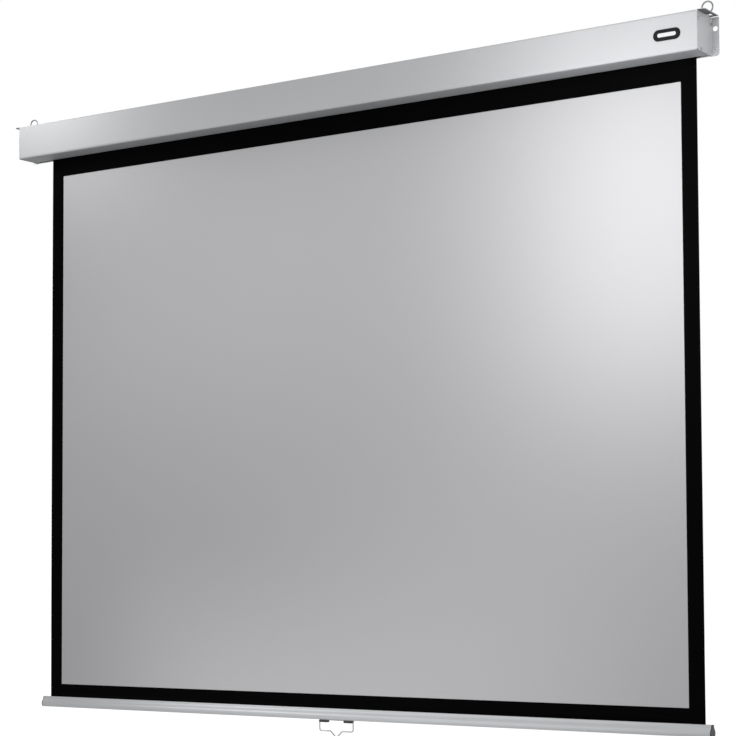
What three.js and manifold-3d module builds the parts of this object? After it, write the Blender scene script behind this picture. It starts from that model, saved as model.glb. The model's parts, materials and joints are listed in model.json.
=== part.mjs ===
// Pull down projector screen with a spring roller, drawn in millimetres.
// The origin is the middle of the casing's flat back face, where it lies on the wall.
// +X runs along the casing to the right, +Y points into the wall and +Z points up.
// The screen is pulled down, and the lock's pawls are drawn released.

import * as THREE from 'three';
import { mergeVertices } from 'three/addons/utils/BufferGeometryUtils.js';
import Module from 'manifold-3d';

const wasm = await Module();
wasm.setup();

// Driving dimensions

// Picture and fabric
const pictureWidth = 2000;
const pictureHeight = 1500;
const sideBorder = 42.5;
const bottomBorder = 37;
const topDrop = 53;
const fabricThickness = 0.5;
const fabricToWall = 14;
const hemPocketRadius = 3.6;
const hemRodRadius = 2.7;
const woundTurns = 3.25;
const woundGap = 0.45;
const turnSteps = 36;

// Casing, longer than the fabric by the room for the spring end and for the idler end
const springEndRoom = 72;
const idlerEndRoom = 34;
const casingHeight = 97;
const casingDepth = 84;
const casingWall = 1.6;
const casingFrontRadius = 6;
const casingRearRadius = 2.6;
const slotFrontGap = 3;
const slotLipHeight = 7;
const slotRearLip = 4;
const portRadius = 4.2;
const portSlit = 1.6;
const sidePortHeight = 28;
const lipPortFromFront = 22;
const namePlateWidth = 71;
const namePlateHeight = 28;
const namePlateThickness = 1.2;
const namePlateCorner = 12;
const namePlateFromEnd = 78.5;
const namePlateDrop = 1.5;

// End brackets and hanging rings
const bracketThickness = 2;
const bracketFlange = 19;
const bracketBend = 1;
const bracketCornerRadius = 8;
const wallHoleRadius = 6.5;
const wallHoleDrop = 31;
const wallPipRadius = 3.6;
const wallPipHeight = 1.2;
const wallPipRise = 17.5;
const earWidth = 15;
const earHeight = 11;
const earHoleRadius = 3.6;
const earHoleRise = 2.6;
const earFromWall = 22;
const ringWireRadius = 2;
const ringMeanRadius = 14;
const screwRadius = 1.9;
const screwLength = 16;
const screwHeadRadius = 3.7;
const screwHeadHeight = 2.3;
const screwSlotWidth = 0.9;
const screwSlotDepth = 0.9;

// Roller
const tubeRadius = 19;
const tubeWall = 1.2;
const rollerHeight = 8;
const grooveRadius = 2.3;
const grooveWall = 1.3;
const grooveSlot = 1.7;
const splineRadius = 1.5;
const plugLength = 30;
const plugFlangeRise = 1.5;
const plugFlangeThickness = 3;

// Spring motor
const shaftRadius = 4.5;
const shaftFlat = 5.4;
const shaftPastClip = 2;
const tongueThickness = 3;
const tongueToPlate = 1;
const tongueToLock = 2;
const socketDepth = 9;
const socketWidth = 20;
const socketCorner = 4;
const anchorRadius = 8;
const anchorLength = 26;
const anchorFlangeRadius = 11;
const anchorFlangeThickness = 2.5;
const anchorFromLock = 4.5;
const anchorChamfer = 2;
const crossPinRadius = 1.2;
const springWireRadius = 1.1;
const springLength = 430;
const springTurns = 40;
const springEndTurns = 5;
const springEndPitch = 3.4;
const springSteps = 8;
const springSides = 5;
const clipThickness = 1.2;
const clipRadius = 7.6;
const clipGrooveDepth = 0.8;
const clipFromPlug = 2;
const clipHalfMouth = THREE.MathUtils.degToRad(30);

// Lock
const lockFromPlate = 20;
const coverThickness = 1.6;
const coverBoreGap = 2;
const lockCavity = 10;
const housingWall = 2.5;
const housingClearance = 1.6;
const housingBossRise = 2;
const ratchetRadius = 8.2;
const ratchetThickness = 7;
const notchWidth = 3.5;
const notchFloor = 5.2;
const notchFlat = 2.9;
const rampRunShare = 1.34;
const pawlThickness = 6.4;
const pawlPivotAcross = 10.5;
const pawlPivotUp = 8.8;
const pawlHubRadius = 2.7;
const pawlThrow = THREE.MathUtils.degToRad(20);
const pawlTipHeight = 3;
const bushWall = 2.2;
const bushFlange = 1.5;

// Idler end
const idlerFromPlate = 14;
const idlerPinRadius = 5;
const idlerBushWall = 2.6;
const idlerHousingWall = 2.6;
const idlerHousingLength = 10;
const idlerHousingFoot = 2;
const idlerPinToPlate = 2;
const plugHubRadius = 9;
const plugRimWall = 2;
const plugRibs = 6;
const plugRibWidth = 2.4;

// Weight bar and handle
const barPastFabricLeft = 23;
const barPastFabricRight = 16;
const barHeight = 30;
const barDepth = 26;
const barWall = 1.6;
const barChannelRadius = 4.5;
const barChannelDrop = 7.6;
const barSlot = 2.2;
const barParkGap = 4;
const barTopWidth = 8;
const barFootWidth = 14;
const barShoulderShare = 0.1;
const barWideShare = 0.66;
const capThickness = 2.4;
const capPlugLength = 9;
const handleWireRadius = 1.8;
const handleHalfWidth = 54;
const handleLegLength = 25.5;
const handleHookBend = 2.4;
const handleBendRadius = 6;
const handleShoulder = 19;
const handleNoseDrop = 17;
const handleNoseRadius = 3.5;
const wireSides = 8;
const strapThickness = 1;
const strapWidth = 14;
const clipBlockLength = 24.6;
const clipBlockHeight = 5.8;
const clipBlockWidth = 14;
const clipEndWall = 1.2;
const handleScrewRadius = 1.7;
const handleScrewHeadRadius = 3.2;
const handleScrewHeadHeight = 1.8;
const handleScrewLength = 11;

// Shared fits
const seatGap = 0.3;
const runningGap = 0.35;
const overrun = 2;
const weldDistance = 0.001;
const fineFacets = 36;
const midFacets = 24;
const smallFacets = 12;
const bendFacets = 4;
const leastMitreShare = 0.5;

// Places worked out from the driving dimensions
const fabricWidth = pictureWidth + 2 * sideBorder;
const casingLength = springEndRoom + fabricWidth + idlerEndRoom;
const halfCasing = casingLength / 2;
const fabricLeft = -halfCasing + springEndRoom;
const fabricRight = halfCasing - idlerEndRoom;
const barLeft = fabricLeft - barPastFabricLeft;
const barRight = fabricRight + barPastFabricRight;
const casingTop = casingHeight / 2;
const casingBottom = -casingTop;
const plateInner = halfCasing - bracketThickness;
const shellHalf = plateInner - seatGap;
const fabricY = -fabricToWall;
const pictureTop = casingBottom - topDrop;
const pictureBottom = pictureTop - pictureHeight;
const barTop = pictureBottom - bottomBorder;
const barBottom = barTop - barHeight;
const woundPitch = fabricThickness + woundGap;
const woundInner = tubeRadius + seatGap + fabricThickness / 2;
const woundOuter = woundInner + woundPitch * woundTurns;
const rollerY = fabricY - woundOuter;
const rollerZ = rollerHeight;
const tubeInner = tubeRadius - tubeWall;
const plugRadius = tubeInner - seatGap;
const plugFlangeRadius = tubeRadius + plugFlangeRise;
const grooveDepth = tubeRadius - grooveWall - grooveRadius + tubeWall / 2;
const grooveAngle = 2 * Math.PI * woundTurns;
const bulgeRadius = grooveRadius + grooveWall;
const cavityRadius = Math.hypot(pawlPivotAcross, pawlPivotUp) + pawlHubRadius + housingClearance;
const housingRadius = cavityRadius + housingWall;
const lockFace = -plateInner + lockFromPlate;
const cavityStart = lockFace + coverThickness + seatGap;
const discStart = cavityStart + lockCavity;
const discEnd = discStart + plugFlangeThickness;
const tubeLeft = discEnd + seatGap;
const idlerFlangeEnd = plateInner - idlerFromPlate;
const idlerFlangeStart = idlerFlangeEnd - plugFlangeThickness;
const tubeRight = idlerFlangeStart - seatGap;
const anchorStart = discEnd + plugLength + anchorFromLock;
const springMean = (anchorRadius + seatGap + springWireRadius) / Math.cos(Math.PI / springSteps);
const springStart = anchorStart + anchorFlangeThickness + seatGap + springWireRadius;
const springEnd = springStart + springLength;
const driveFace = springEnd + springWireRadius + seatGap;
const clipStart = driveFace + plugLength + clipFromPlug;
const shaftEnd = clipStart + clipThickness + shaftPastClip;
const bendOuter = bracketBend + bracketThickness;
const barTravel = casingBottom - barParkGap - barTop;

// Helpers that turn three.js geometry into joined or cut solids

function toSolid(geometry) {
  const bare = geometry.index ? geometry.toNonIndexed() : geometry.clone();
  for (const name of Object.keys(bare.attributes)) {
    if (name !== 'position') bare.deleteAttribute(name);
  }
  const merged = mergeVertices(bare, weldDistance);
  return new wasm.Manifold(new wasm.Mesh({
    numProp: 3,
    vertProperties: merged.attributes.position.array,
    triVerts: new Uint32Array(merged.index.array),
  }));
}

function toGeometry(solid) {
  const mesh = solid.getMesh();
  const geometry = new THREE.BufferGeometry();
  geometry.setAttribute('position', new THREE.BufferAttribute(mesh.vertProperties, 3));
  geometry.setIndex(new THREE.BufferAttribute(mesh.triVerts, 1));
  geometry.computeVertexNormals();
  return geometry;
}

function join(...geometries) {
  return toGeometry(geometries.map(toSolid).reduce((all, next) => all.add(next)));
}

function cut(geometry, ...tools) {
  return toGeometry(tools.map(toSolid).reduce((rest, tool) => rest.subtract(tool), toSolid(geometry)));
}

function common(first, second) {
  return toGeometry(toSolid(first).intersect(toSolid(second)));
}

// Shapes drawn in Y and Z and pulled along X, or in X and Z and pulled towards the front

const sectionToX = new THREE.Matrix4().makeBasis(
  new THREE.Vector3(0, 1, 0), new THREE.Vector3(0, 0, 1), new THREE.Vector3(1, 0, 0));
const sectionToFront = new THREE.Matrix4().makeBasis(
  new THREE.Vector3(1, 0, 0), new THREE.Vector3(0, 0, 1), new THREE.Vector3(0, -1, 0));

function extrude(shape, depth, curveSegments = bendFacets) {
  return new THREE.ExtrudeGeometry(shape, { depth, steps: 1, bevelEnabled: false, curveSegments });
}

function alongX(shape, start, end, curveSegments) {
  return extrude(shape, end - start, curveSegments).applyMatrix4(sectionToX).translate(start, 0, 0);
}

function towardsFront(shape, back, depth, curveSegments) {
  return extrude(shape, depth, curveSegments).applyMatrix4(sectionToFront).translate(0, back, 0);
}

function upwards(shape, bottom, height, curveSegments) {
  return extrude(shape, height, curveSegments).translate(0, 0, bottom);
}

function block(x0, x1, y0, y1, z0, z1) {
  return new THREE.BoxGeometry(x1 - x0, y1 - y0, z1 - z0)
    .translate((x0 + x1) / 2, (y0 + y1) / 2, (z0 + z1) / 2);
}

// A round rod along X from start to end
function rodX(radius, start, end, y, z, facets = midFacets) {
  return new THREE.CylinderGeometry(radius, radius, end - start, facets)
    .rotateZ(-Math.PI / 2).translate((start + end) / 2, y, z);
}

function rodY(radius, front, back, x, z, facets = midFacets) {
  return new THREE.CylinderGeometry(radius, radius, back - front, facets)
    .translate(x, (front + back) / 2, z);
}

function rodZ(radius, bottom, top, x, y, facets = midFacets) {
  return new THREE.CylinderGeometry(radius, radius, top - bottom, facets)
    .rotateX(Math.PI / 2).translate(x, y, (bottom + top) / 2);
}

// A solid turned about a line along X: profile lists [place along X, radius] round the section
function turned(profile, y, z, facets = fineFacets) {
  const area = profile.reduce((sum, [x, r], i) => {
    const [nextX, nextR] = profile[(i + 1) % profile.length];
    return sum + x * nextR - nextX * r;
  }, 0);
  const ordered = area > 0 ? [...profile].reverse() : profile;
  const onAxis = ordered.some(([, r]) => r === 0);
  const points = ordered.map(([x, r]) => new THREE.Vector2(r, x));
  if (onAxis) {
    while (points[0].x !== 0 || points[points.length - 1].x !== 0) points.push(points.shift());
  } else {
    points.push(points[0].clone());
  }
  return new THREE.LatheGeometry(points, facets).rotateZ(-Math.PI / 2).translate(0, y, z);
}

function roundedRectangle(x0, x1, y0, y1, radius) {
  const shape = new THREE.Shape();
  shape.moveTo(x0 + radius, y0);
  shape.lineTo(x1 - radius, y0);
  shape.absarc(x1 - radius, y0 + radius, radius, -Math.PI / 2, 0);
  shape.lineTo(x1, y1 - radius);
  shape.absarc(x1 - radius, y1 - radius, radius, 0, Math.PI / 2);
  shape.lineTo(x0 + radius, y1);
  shape.absarc(x0 + radius, y1 - radius, radius, Math.PI / 2, Math.PI);
  shape.lineTo(x0, y0 + radius);
  shape.absarc(x0 + radius, y0 + radius, radius, Math.PI, 1.5 * Math.PI);
  return shape;
}

// The two sides of a strip of even thickness along a line of points in the section
function stripSides(points, thickness) {
  const half = thickness / 2;
  return [1, -1].map((side) => points.map((point, i) => {
    const before = points[Math.max(i - 1, 0)];
    const after = points[Math.min(i + 1, points.length - 1)];
    const inward = new THREE.Vector2().subVectors(point, before).normalize();
    const outward = new THREE.Vector2().subVectors(after, point).normalize();
    if (i === 0) inward.copy(outward);
    if (i === points.length - 1) outward.copy(inward);
    const along = new THREE.Vector2().addVectors(inward, outward).normalize();
    const spread = half / Math.max(along.dot(inward), leastMitreShare);
    return new THREE.Vector2(point.x - side * along.y * spread, point.y + side * along.x * spread);
  }));
}

function strip(points, thickness) {
  const [near, far] = stripSides(points, thickness);
  return new THREE.Shape([...near, ...far.reverse()]);
}

// The least gap between the turns of a winding, measured between the points of sections a turn apart
function leastTurnGap(sections, perTurn) {
  let least = Infinity;
  for (let i = perTurn; i < sections.length; i += 1) {
    for (const other of sections.slice(Math.max(i - perTurn - 1, 0), i - perTurn + 2)) {
      for (const point of sections[i]) {
        least = Math.min(least, ...other.map((mate) => point.distanceTo(mate)));
      }
    }
  }
  return least;
}

function standard(color, roughness, metalness) {
  return new THREE.MeshStandardMaterial({ color, roughness, metalness });
}

const satinSilver = standard(0xb9bbbd, 0.42, 0.75);
const silverPaint = standard(0xb2b4b6, 0.5, 0.3);
const zincSteel = standard(0xa7a9aa, 0.38, 0.9);
const springSteel = standard(0x6f7274, 0.4, 0.9);
const blackPlastic = standard(0x17181a, 0.5, 0);
const greyPlastic = standard(0x8d9092, 0.55, 0);
const blackFabric = standard(0x060606, 0.85, 0);
const screenFabricGrey = standard(0x9a9a9c, 0.6, 0);
const brightWire = standard(0xc6c8ca, 0.25, 1);
const brass = standard(0xb08d4a, 0.4, 0.9);

const screen = new THREE.Group();

function add(name, geometry, material) {
  const mesh = new THREE.Mesh(geometry, material);
  mesh.name = name;
  screen.add(mesh);
  return mesh;
}

// Casing: a bent strip round the roller, with three screw ports for the end brackets

function casingLine() {
  const half = casingWall / 2;
  const front = -casingDepth + half;
  const back = -half;
  const top = casingTop - half;
  const bottom = casingBottom + half;
  const lip = fabricY - slotFrontGap - half;
  const line = new THREE.Path();
  line.moveTo(lip, bottom + slotLipHeight);
  line.lineTo(lip, bottom + casingRearRadius);
  line.absarc(lip - casingRearRadius, bottom + casingRearRadius, casingRearRadius, 0, -Math.PI / 2, true);
  line.lineTo(front + casingFrontRadius, bottom);
  line.absarc(front + casingFrontRadius, bottom + casingFrontRadius, casingFrontRadius,
    1.5 * Math.PI, Math.PI, true);
  line.lineTo(front, top - casingFrontRadius);
  line.absarc(front + casingFrontRadius, top - casingFrontRadius, casingFrontRadius,
    Math.PI, Math.PI / 2, true);
  line.lineTo(back - casingRearRadius, top);
  line.absarc(back - casingRearRadius, top - casingRearRadius, casingRearRadius, Math.PI / 2, 0, true);
  line.lineTo(back, bottom + casingRearRadius);
  line.absarc(back - casingRearRadius, bottom + casingRearRadius, casingRearRadius, 0, -Math.PI / 2, true);
  line.lineTo(back - slotRearLip, bottom);
  return line.getPoints(bendFacets);
}

const portReach = casingWall + portRadius - seatGap;
const rearPortReach = bendOuter + screwHeadRadius + seatGap;
const ports = [
  { y: -casingDepth + portReach, z: sidePortHeight, slitY: 1, slitZ: 0 },
  { y: -rearPortReach, z: sidePortHeight, slitY: -1, slitZ: 0 },
  { y: -casingDepth + lipPortFromFront, z: casingBottom + portReach, slitY: 0, slitZ: 1 },
];
const portBore = screwRadius + runningGap;

function portSlitBlock(port) {
  const reach = portRadius + overrun;
  const half = portSlit / 2;
  const y = [port.y - half, port.y + half];
  const z = [port.z - half, port.z + half];
  if (port.slitY > 0) y[1] = port.y + reach;
  if (port.slitY < 0) y[0] = port.y - reach;
  if (port.slitZ > 0) z[1] = port.z + reach;
  return block(-halfCasing, halfCasing, y[0], y[1], z[0], z[1]);
}

function casingShell() {
  const shell = alongX(strip(casingLine(), casingWall), -shellHalf, shellHalf);
  const posts = ports.map((p) => rodX(portRadius, -shellHalf, shellHalf, p.y, p.z, smallFacets));
  const bores = ports.map((p) => rodX(portBore, -halfCasing, halfCasing, p.y, p.z, smallFacets));
  const rearWeb = block(-shellHalf, shellHalf, -rearPortReach, -casingWall / 2,
    sidePortHeight - portSlit / 2, sidePortHeight + portSlit / 2);
  return cut(join(shell, ...posts, rearWeb), ...bores, ...ports.map(portSlitBlock));
}

add('casing_shell', casingShell(), satinSilver);

// Name plate: a plain rounded plate on the front, near the right end

const namePlateX = halfCasing - namePlateFromEnd;
const namePlateOutline = roundedRectangle(
  namePlateX - namePlateWidth / 2, namePlateX + namePlateWidth / 2,
  -namePlateDrop - namePlateHeight / 2, -namePlateDrop + namePlateHeight / 2, namePlateCorner);
add('name_plate', towardsFront(namePlateOutline, -casingDepth - seatGap, namePlateThickness), satinSilver);

// End brackets: a plate over the casing's end, folded outwards at the top and at the back,
// with an upright ear for the hanging ring

const earY = -earFromWall;
const earHoleZ = casingTop + earHoleRise;

function bracketPlate() {
  const shape = new THREE.Shape();
  const front = -casingDepth;
  const ear = earWidth / 2;
  const earTop = casingTop + earHeight;
  shape.moveTo(front + casingFrontRadius, casingBottom);
  shape.lineTo(-bendOuter, casingBottom);
  shape.lineTo(-bendOuter, casingTop - bendOuter);
  shape.lineTo(earY + ear, casingTop - bendOuter);
  shape.lineTo(earY + ear, earTop - ear);
  shape.absarc(earY, earTop - ear, ear, 0, Math.PI);
  shape.lineTo(earY - ear, casingTop - bendOuter);
  shape.lineTo(front, casingTop - bendOuter);
  shape.lineTo(front, casingBottom + casingFrontRadius);
  shape.absarc(front + casingFrontRadius, casingBottom + casingFrontRadius, casingFrontRadius,
    Math.PI, 1.5 * Math.PI);
  return alongX(shape, plateInner, halfCasing, 2 * bendFacets);
}

// The quarter bend that joins the plate to a flange, drawn with the plate below it
function bendSection(turn, plateSide) {
  const shape = new THREE.Shape();
  const centre = halfCasing + bracketBend;
  shape.moveTo(plateInner, turn - bendOuter - plateSide);
  shape.lineTo(halfCasing, turn - bendOuter - plateSide);
  shape.lineTo(halfCasing, turn - bendOuter);
  shape.absarc(centre, turn - bendOuter, bracketBend, Math.PI, Math.PI / 2, true);
  shape.lineTo(halfCasing + bendOuter, turn - bracketThickness);
  shape.lineTo(halfCasing + bendOuter, turn);
  shape.lineTo(centre, turn);
  shape.absarc(centre, turn - bendOuter, bendOuter, Math.PI / 2, Math.PI);
  return shape;
}

function topFlange() {
  const outer = halfCasing + bracketFlange;
  const front = -casingDepth;
  const back = -bendOuter - seatGap;
  const shape = new THREE.Shape();
  shape.moveTo(halfCasing + bracketBend, front);
  shape.lineTo(outer - bracketCornerRadius, front);
  shape.absarc(outer - bracketCornerRadius, front + bracketCornerRadius, bracketCornerRadius,
    -Math.PI / 2, 0);
  shape.lineTo(outer, back);
  shape.lineTo(halfCasing + bracketBend, back);
  const plate = upwards(shape, casingTop - bracketThickness, bracketThickness, bendFacets);
  const bend = towardsFront(bendSection(casingTop, overrun), back, back - front);
  return join(plate, bend);
}

function rearFlange() {
  const outer = halfCasing + bracketFlange;
  const top = casingTop - bendOuter - seatGap;
  const shape = new THREE.Shape();
  shape.moveTo(halfCasing + bracketBend, casingBottom);
  shape.lineTo(outer - bracketCornerRadius, casingBottom);
  shape.absarc(outer - bracketCornerRadius, casingBottom + bracketCornerRadius, bracketCornerRadius,
    -Math.PI / 2, 0);
  shape.lineTo(outer, top);
  shape.lineTo(halfCasing + bracketBend, top);
  const plate = towardsFront(shape, 0, bracketThickness);
  const bend = upwards(bendSection(0, overrun), casingBottom, top - casingBottom);
  return join(plate, bend);
}

function rightBracket() {
  const outer = halfCasing + bracketFlange;
  const middle = (halfCasing + outer) / 2;
  const ear = earWidth / 2 + seatGap;
  const body = join(bracketPlate(), topFlange(), rearFlange());
  const earGap = block(halfCasing, halfCasing + earHeight, earY - ear, earY + ear,
    casingTop - bendOuter, casingTop + overrun);
  const earHole = rodX(earHoleRadius, plateInner - overrun, halfCasing + overrun, earY, earHoleZ);
  const wallHole = rodY(wallHoleRadius, -bracketThickness - overrun, overrun, middle,
    casingTop - wallHoleDrop);
  const screwHoles = ports.map((p) =>
    rodX(portBore, plateInner - overrun, halfCasing + overrun, p.y, p.z, smallFacets));
  const pip = turned([
    [0, 0],
    [0, wallPipRadius],
    [wallPipHeight / 2, wallPipRadius],
    [wallPipHeight + bracketThickness / 2, wallPipRadius / 2],
    [wallPipHeight + bracketThickness / 2, 0],
  ], 0, 0, smallFacets).rotateZ(-Math.PI / 2)
    .translate(middle, -bracketThickness / 2, casingBottom + wallPipRise);
  return join(cut(body, earGap, earHole, wallHole, ...screwHoles), pip);
}

function mirrored(geometry) {
  const copy = toSolid(geometry).mirror([1, 0, 0]);
  return toGeometry(copy);
}

const bracket = rightBracket();
add('end_bracket_right', bracket, silverPaint);
add('end_bracket_left', mirrored(bracket), silverPaint);

// Hanging rings: each hangs in its ear's hole and stands up when a wire pulls it

const ringLow = earHoleZ + earHoleRadius - ringWireRadius - seatGap;
const ringZ = ringLow + ringMeanRadius;
const earX = halfCasing - bracketThickness / 2;
for (const [side, sign] of [['left', -1], ['right', 1]]) {
  const ring = add(`hanging_ring_${side}`,
    new THREE.TorusGeometry(ringMeanRadius, ringWireRadius, wireSides, fineFacets), brightWire);
  ring.rotation.x = Math.PI / 2;
  ring.position.set(sign * earX, earY, ringZ);
}

// Bracket screws: pan heads with a slot, screwed into the casing's ports

function panScrew(radius, length, headRadius, headHeight) {
  const body = turned([
    [-length, 0],
    [-length, radius / 2],
    [-length + radius, radius],
    [seatGap, radius],
    [seatGap, headRadius],
    [seatGap + headHeight / 2, headRadius],
    [seatGap + headHeight, headRadius / 2],
    [seatGap + headHeight, 0],
  ], 0, 0, smallFacets);
  const slotFloor = seatGap + headHeight - screwSlotDepth;
  return cut(body, block(slotFloor, seatGap + headHeight + overrun, -headRadius, headRadius,
    -screwSlotWidth / 2, screwSlotWidth / 2));
}

const bracketScrew = panScrew(screwRadius, screwLength, screwHeadRadius, screwHeadHeight);
for (const [side, sign] of [['left', -1], ['right', 1]]) {
  ports.forEach((port, i) => {
    const screw = add(`bracket_screw_${side}_${i + 1}`, bracketScrew, zincSteel);
    screw.rotation.z = sign > 0 ? 0 : Math.PI;
    screw.position.set(sign * halfCasing, port.y, port.z);
  });
}

// Roller: an extruded tube whose groove holds the fabric, seen as a bulge inside

function rollerPoint(radius, angle) {
  return new THREE.Vector2(rollerY + radius * Math.cos(angle), rollerZ + radius * Math.sin(angle));
}

const groove = rollerPoint(grooveDepth, grooveAngle);

function slotThroughTube(width) {
  const reach = tubeRadius + overrun - grooveDepth;
  return new THREE.BoxGeometry(tubeRight - tubeLeft + 2 * overrun, reach, width)
    .translate((tubeLeft + tubeRight) / 2, reach / 2, 0)
    .rotateX(grooveAngle)
    .translate(0, groove.x, groove.y);
}

function rollerTube() {
  const start = tubeLeft - overrun;
  const end = tubeRight + overrun;
  const outside = rodX(tubeRadius, tubeLeft, tubeRight, rollerY, rollerZ, fineFacets);
  const bore = rodX(tubeInner, start, end, rollerY, rollerZ, fineFacets);
  const bulge = common(rodX(bulgeRadius, tubeLeft, tubeRight, groove.x, groove.y, smallFacets), outside);
  const channel = rodX(grooveRadius, start, end, groove.x, groove.y, smallFacets);
  return cut(join(cut(outside, bore), bulge), channel, slotThroughTube(grooveSlot));
}

function keyway(start, end) {
  return rodX(bulgeRadius + seatGap, start, end, groove.x, groove.y, smallFacets);
}

add('roller_tube', rollerTube(), satinSilver);

add('fabric_spline',
  rodX(splineRadius, fabricLeft, fabricRight, groove.x, groove.y, smallFacets), blackPlastic);

// The turns that stay on the roller: out of the groove and round the tube to the back

function woundLine() {
  const points = [];
  const steps = Math.round(woundTurns * turnSteps);
  for (let i = 0; i <= steps; i += 1) {
    const angle = 2 * Math.PI * woundTurns * i / steps;
    points.push(rollerPoint(woundOuter - woundPitch * angle / (2 * Math.PI), angle));
  }
  const tail = grooveDepth + splineRadius + seatGap;
  points.push(rollerPoint(tail, grooveAngle));
  return points;
}

function woundFabric() {
  const line = woundLine();
  const [near, far] = stripSides(line, fabricThickness);
  const gap = leastTurnGap(near.map((point, i) => [point, far[i]]), turnSteps);
  console.log(`wound fabric: least gap between turns ${gap.toFixed(2)} mm`);
  return alongX(strip(line, fabricThickness), fabricLeft, fabricRight);
}

add('wound_fabric', woundFabric(), blackFabric);

// Idler end: ribbed plug in the tube, steel pin, and a bush in a ring on the right bracket

function ribbedPlug() {
  const rim = plugRadius - plugRimWall;
  const shape = new THREE.Shape();
  shape.absarc(0, 0, plugRadius, 0, 2 * Math.PI);
  const step = 2 * Math.PI / plugRibs;
  const inset = plugRibWidth / 2;
  for (let i = 0; i < plugRibs; i += 1) {
    const outer = Math.asin(inset / rim);
    const inner = Math.asin(inset / plugHubRadius);
    const from = i * step + grooveAngle;
    const hole = new THREE.Path();
    hole.absarc(0, 0, rim, from + outer, from + step - outer);
    hole.absarc(0, 0, plugHubRadius, from + step - inner, from + inner, true);
    shape.holes.push(hole);
  }
  const barrel = alongX(shape, idlerFlangeStart - plugLength, idlerFlangeStart, 6 * bendFacets)
    .translate(0, rollerY, rollerZ);
  const flange = rodX(plugFlangeRadius, idlerFlangeStart, idlerFlangeEnd, rollerY, rollerZ, fineFacets);
  const bore = rodX(idlerPinRadius + seatGap, idlerFlangeStart - plugLength - overrun,
    idlerFlangeEnd + overrun, rollerY, rollerZ);
  return cut(join(barrel, flange), bore, keyway(tubeLeft, tubeRight + seatGap));
}

add('idler_plug', ribbedPlug(), greyPlastic);
add('idler_pin', rodX(idlerPinRadius, idlerFlangeStart - plugLength, plateInner - idlerPinToPlate,
  rollerY, rollerZ), zincSteel);

const idlerBore = idlerPinRadius + runningGap;
const idlerBushRadius = idlerBore + idlerBushWall;
const idlerHousingBore = idlerBushRadius + seatGap;
const idlerHousingEnd = plateInner - seatGap;
add('bush_housing', turned([
  [idlerHousingEnd - idlerHousingLength, idlerHousingBore],
  [idlerHousingEnd - idlerHousingLength, idlerHousingBore + idlerHousingWall],
  [idlerHousingEnd - idlerHousingFoot, idlerHousingBore + idlerHousingWall],
  [idlerHousingEnd, idlerHousingBore + 2 * idlerHousingWall],
  [idlerHousingEnd, idlerHousingBore],
], rollerY, rollerZ), zincSteel);
add('idler_bush', turned([
  [idlerHousingEnd - idlerHousingLength - seatGap - bushFlange, idlerBore],
  [idlerHousingEnd - idlerHousingLength - seatGap - bushFlange, idlerHousingBore + idlerHousingWall],
  [idlerHousingEnd - idlerHousingLength - seatGap, idlerHousingBore + idlerHousingWall],
  [idlerHousingEnd - idlerHousingLength - seatGap, idlerBushRadius],
  [idlerHousingEnd - seatGap, idlerBushRadius],
  [idlerHousingEnd - seatGap, idlerBore],
], rollerY, rollerZ), brass);

// Spring motor: the shaft stands still, held by its flat tongue in the socket

const tongueEnd = -plateInner + tongueToPlate;
const shaftRoundStart = lockFace - tongueToLock;

const pinX = anchorStart + anchorLength - 2 * crossPinRadius;

function crossPinHole(reach) {
  return rodZ(crossPinRadius + seatGap, rollerZ - reach, rollerZ + reach, pinX, rollerY, smallFacets);
}

function springShaft() {
  const round = rodX(shaftRadius, tongueEnd, shaftEnd, rollerY, rollerZ);
  const reach = shaftRadius + overrun;
  const sides = [-1, 1];
  const flatten = (start, end, across) => sides.map((s) =>
    new THREE.BoxGeometry(end - start, reach, 2 * reach)
      .translate((start + end) / 2, rollerY + s * (across + reach) / 2, rollerZ));
  const tongueCuts = flatten(tongueEnd - overrun, shaftRoundStart, tongueThickness);
  const flatCuts = flatten(cavityStart, discStart, shaftFlat);
  const pinHole = crossPinHole(reach);
  const clipGroove = turned([
    [clipStart - seatGap, shaftRadius - clipGrooveDepth],
    [clipStart - seatGap, shaftRadius + overrun],
    [clipStart + clipThickness + seatGap, shaftRadius + overrun],
    [clipStart + clipThickness + seatGap, shaftRadius - clipGrooveDepth],
  ], rollerY, rollerZ, midFacets);
  return cut(round, ...tongueCuts, ...flatCuts, pinHole, clipGroove);
}

add('spring_shaft', springShaft(), zincSteel);

function spearSocket() {
  const start = -plateInner + seatGap;
  const end = start + socketDepth;
  const half = socketWidth / 2;
  const outline = roundedRectangle(
    rollerY - half, rollerY + half, rollerZ - half, rollerZ + half, socketCorner);
  const slotHalf = tongueThickness / 2 + seatGap;
  const slot = block(start - overrun, end + overrun, rollerY - slotHalf, rollerY + slotHalf,
    rollerZ - shaftRadius - seatGap, rollerZ + half + overrun);
  return cut(alongX(outline, start, end), slot);
}

add('spear_socket', spearSocket(), zincSteel);

function springAnchor() {
  const end = anchorStart + anchorLength;
  const body = turned([
    [anchorStart, shaftRadius + seatGap],
    [anchorStart, anchorFlangeRadius],
    [anchorStart + anchorFlangeThickness, anchorFlangeRadius],
    [anchorStart + anchorFlangeThickness, anchorRadius],
    [end - anchorChamfer, anchorRadius],
    [end, anchorRadius - anchorChamfer / 2],
    [end, shaftRadius + seatGap],
  ], rollerY, rollerZ, midFacets);
  return cut(body, crossPinHole(anchorRadius + overrun));
}

add('spring_anchor', springAnchor(), greyPlastic);
add('anchor_pin', rodZ(crossPinRadius, rollerZ - anchorRadius + seatGap, rollerZ + anchorRadius - seatGap,
  pinX, rollerY, smallFacets), springSteel);

// The torsion spring: close turns grip the spigots at both ends, open turns between them

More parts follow.
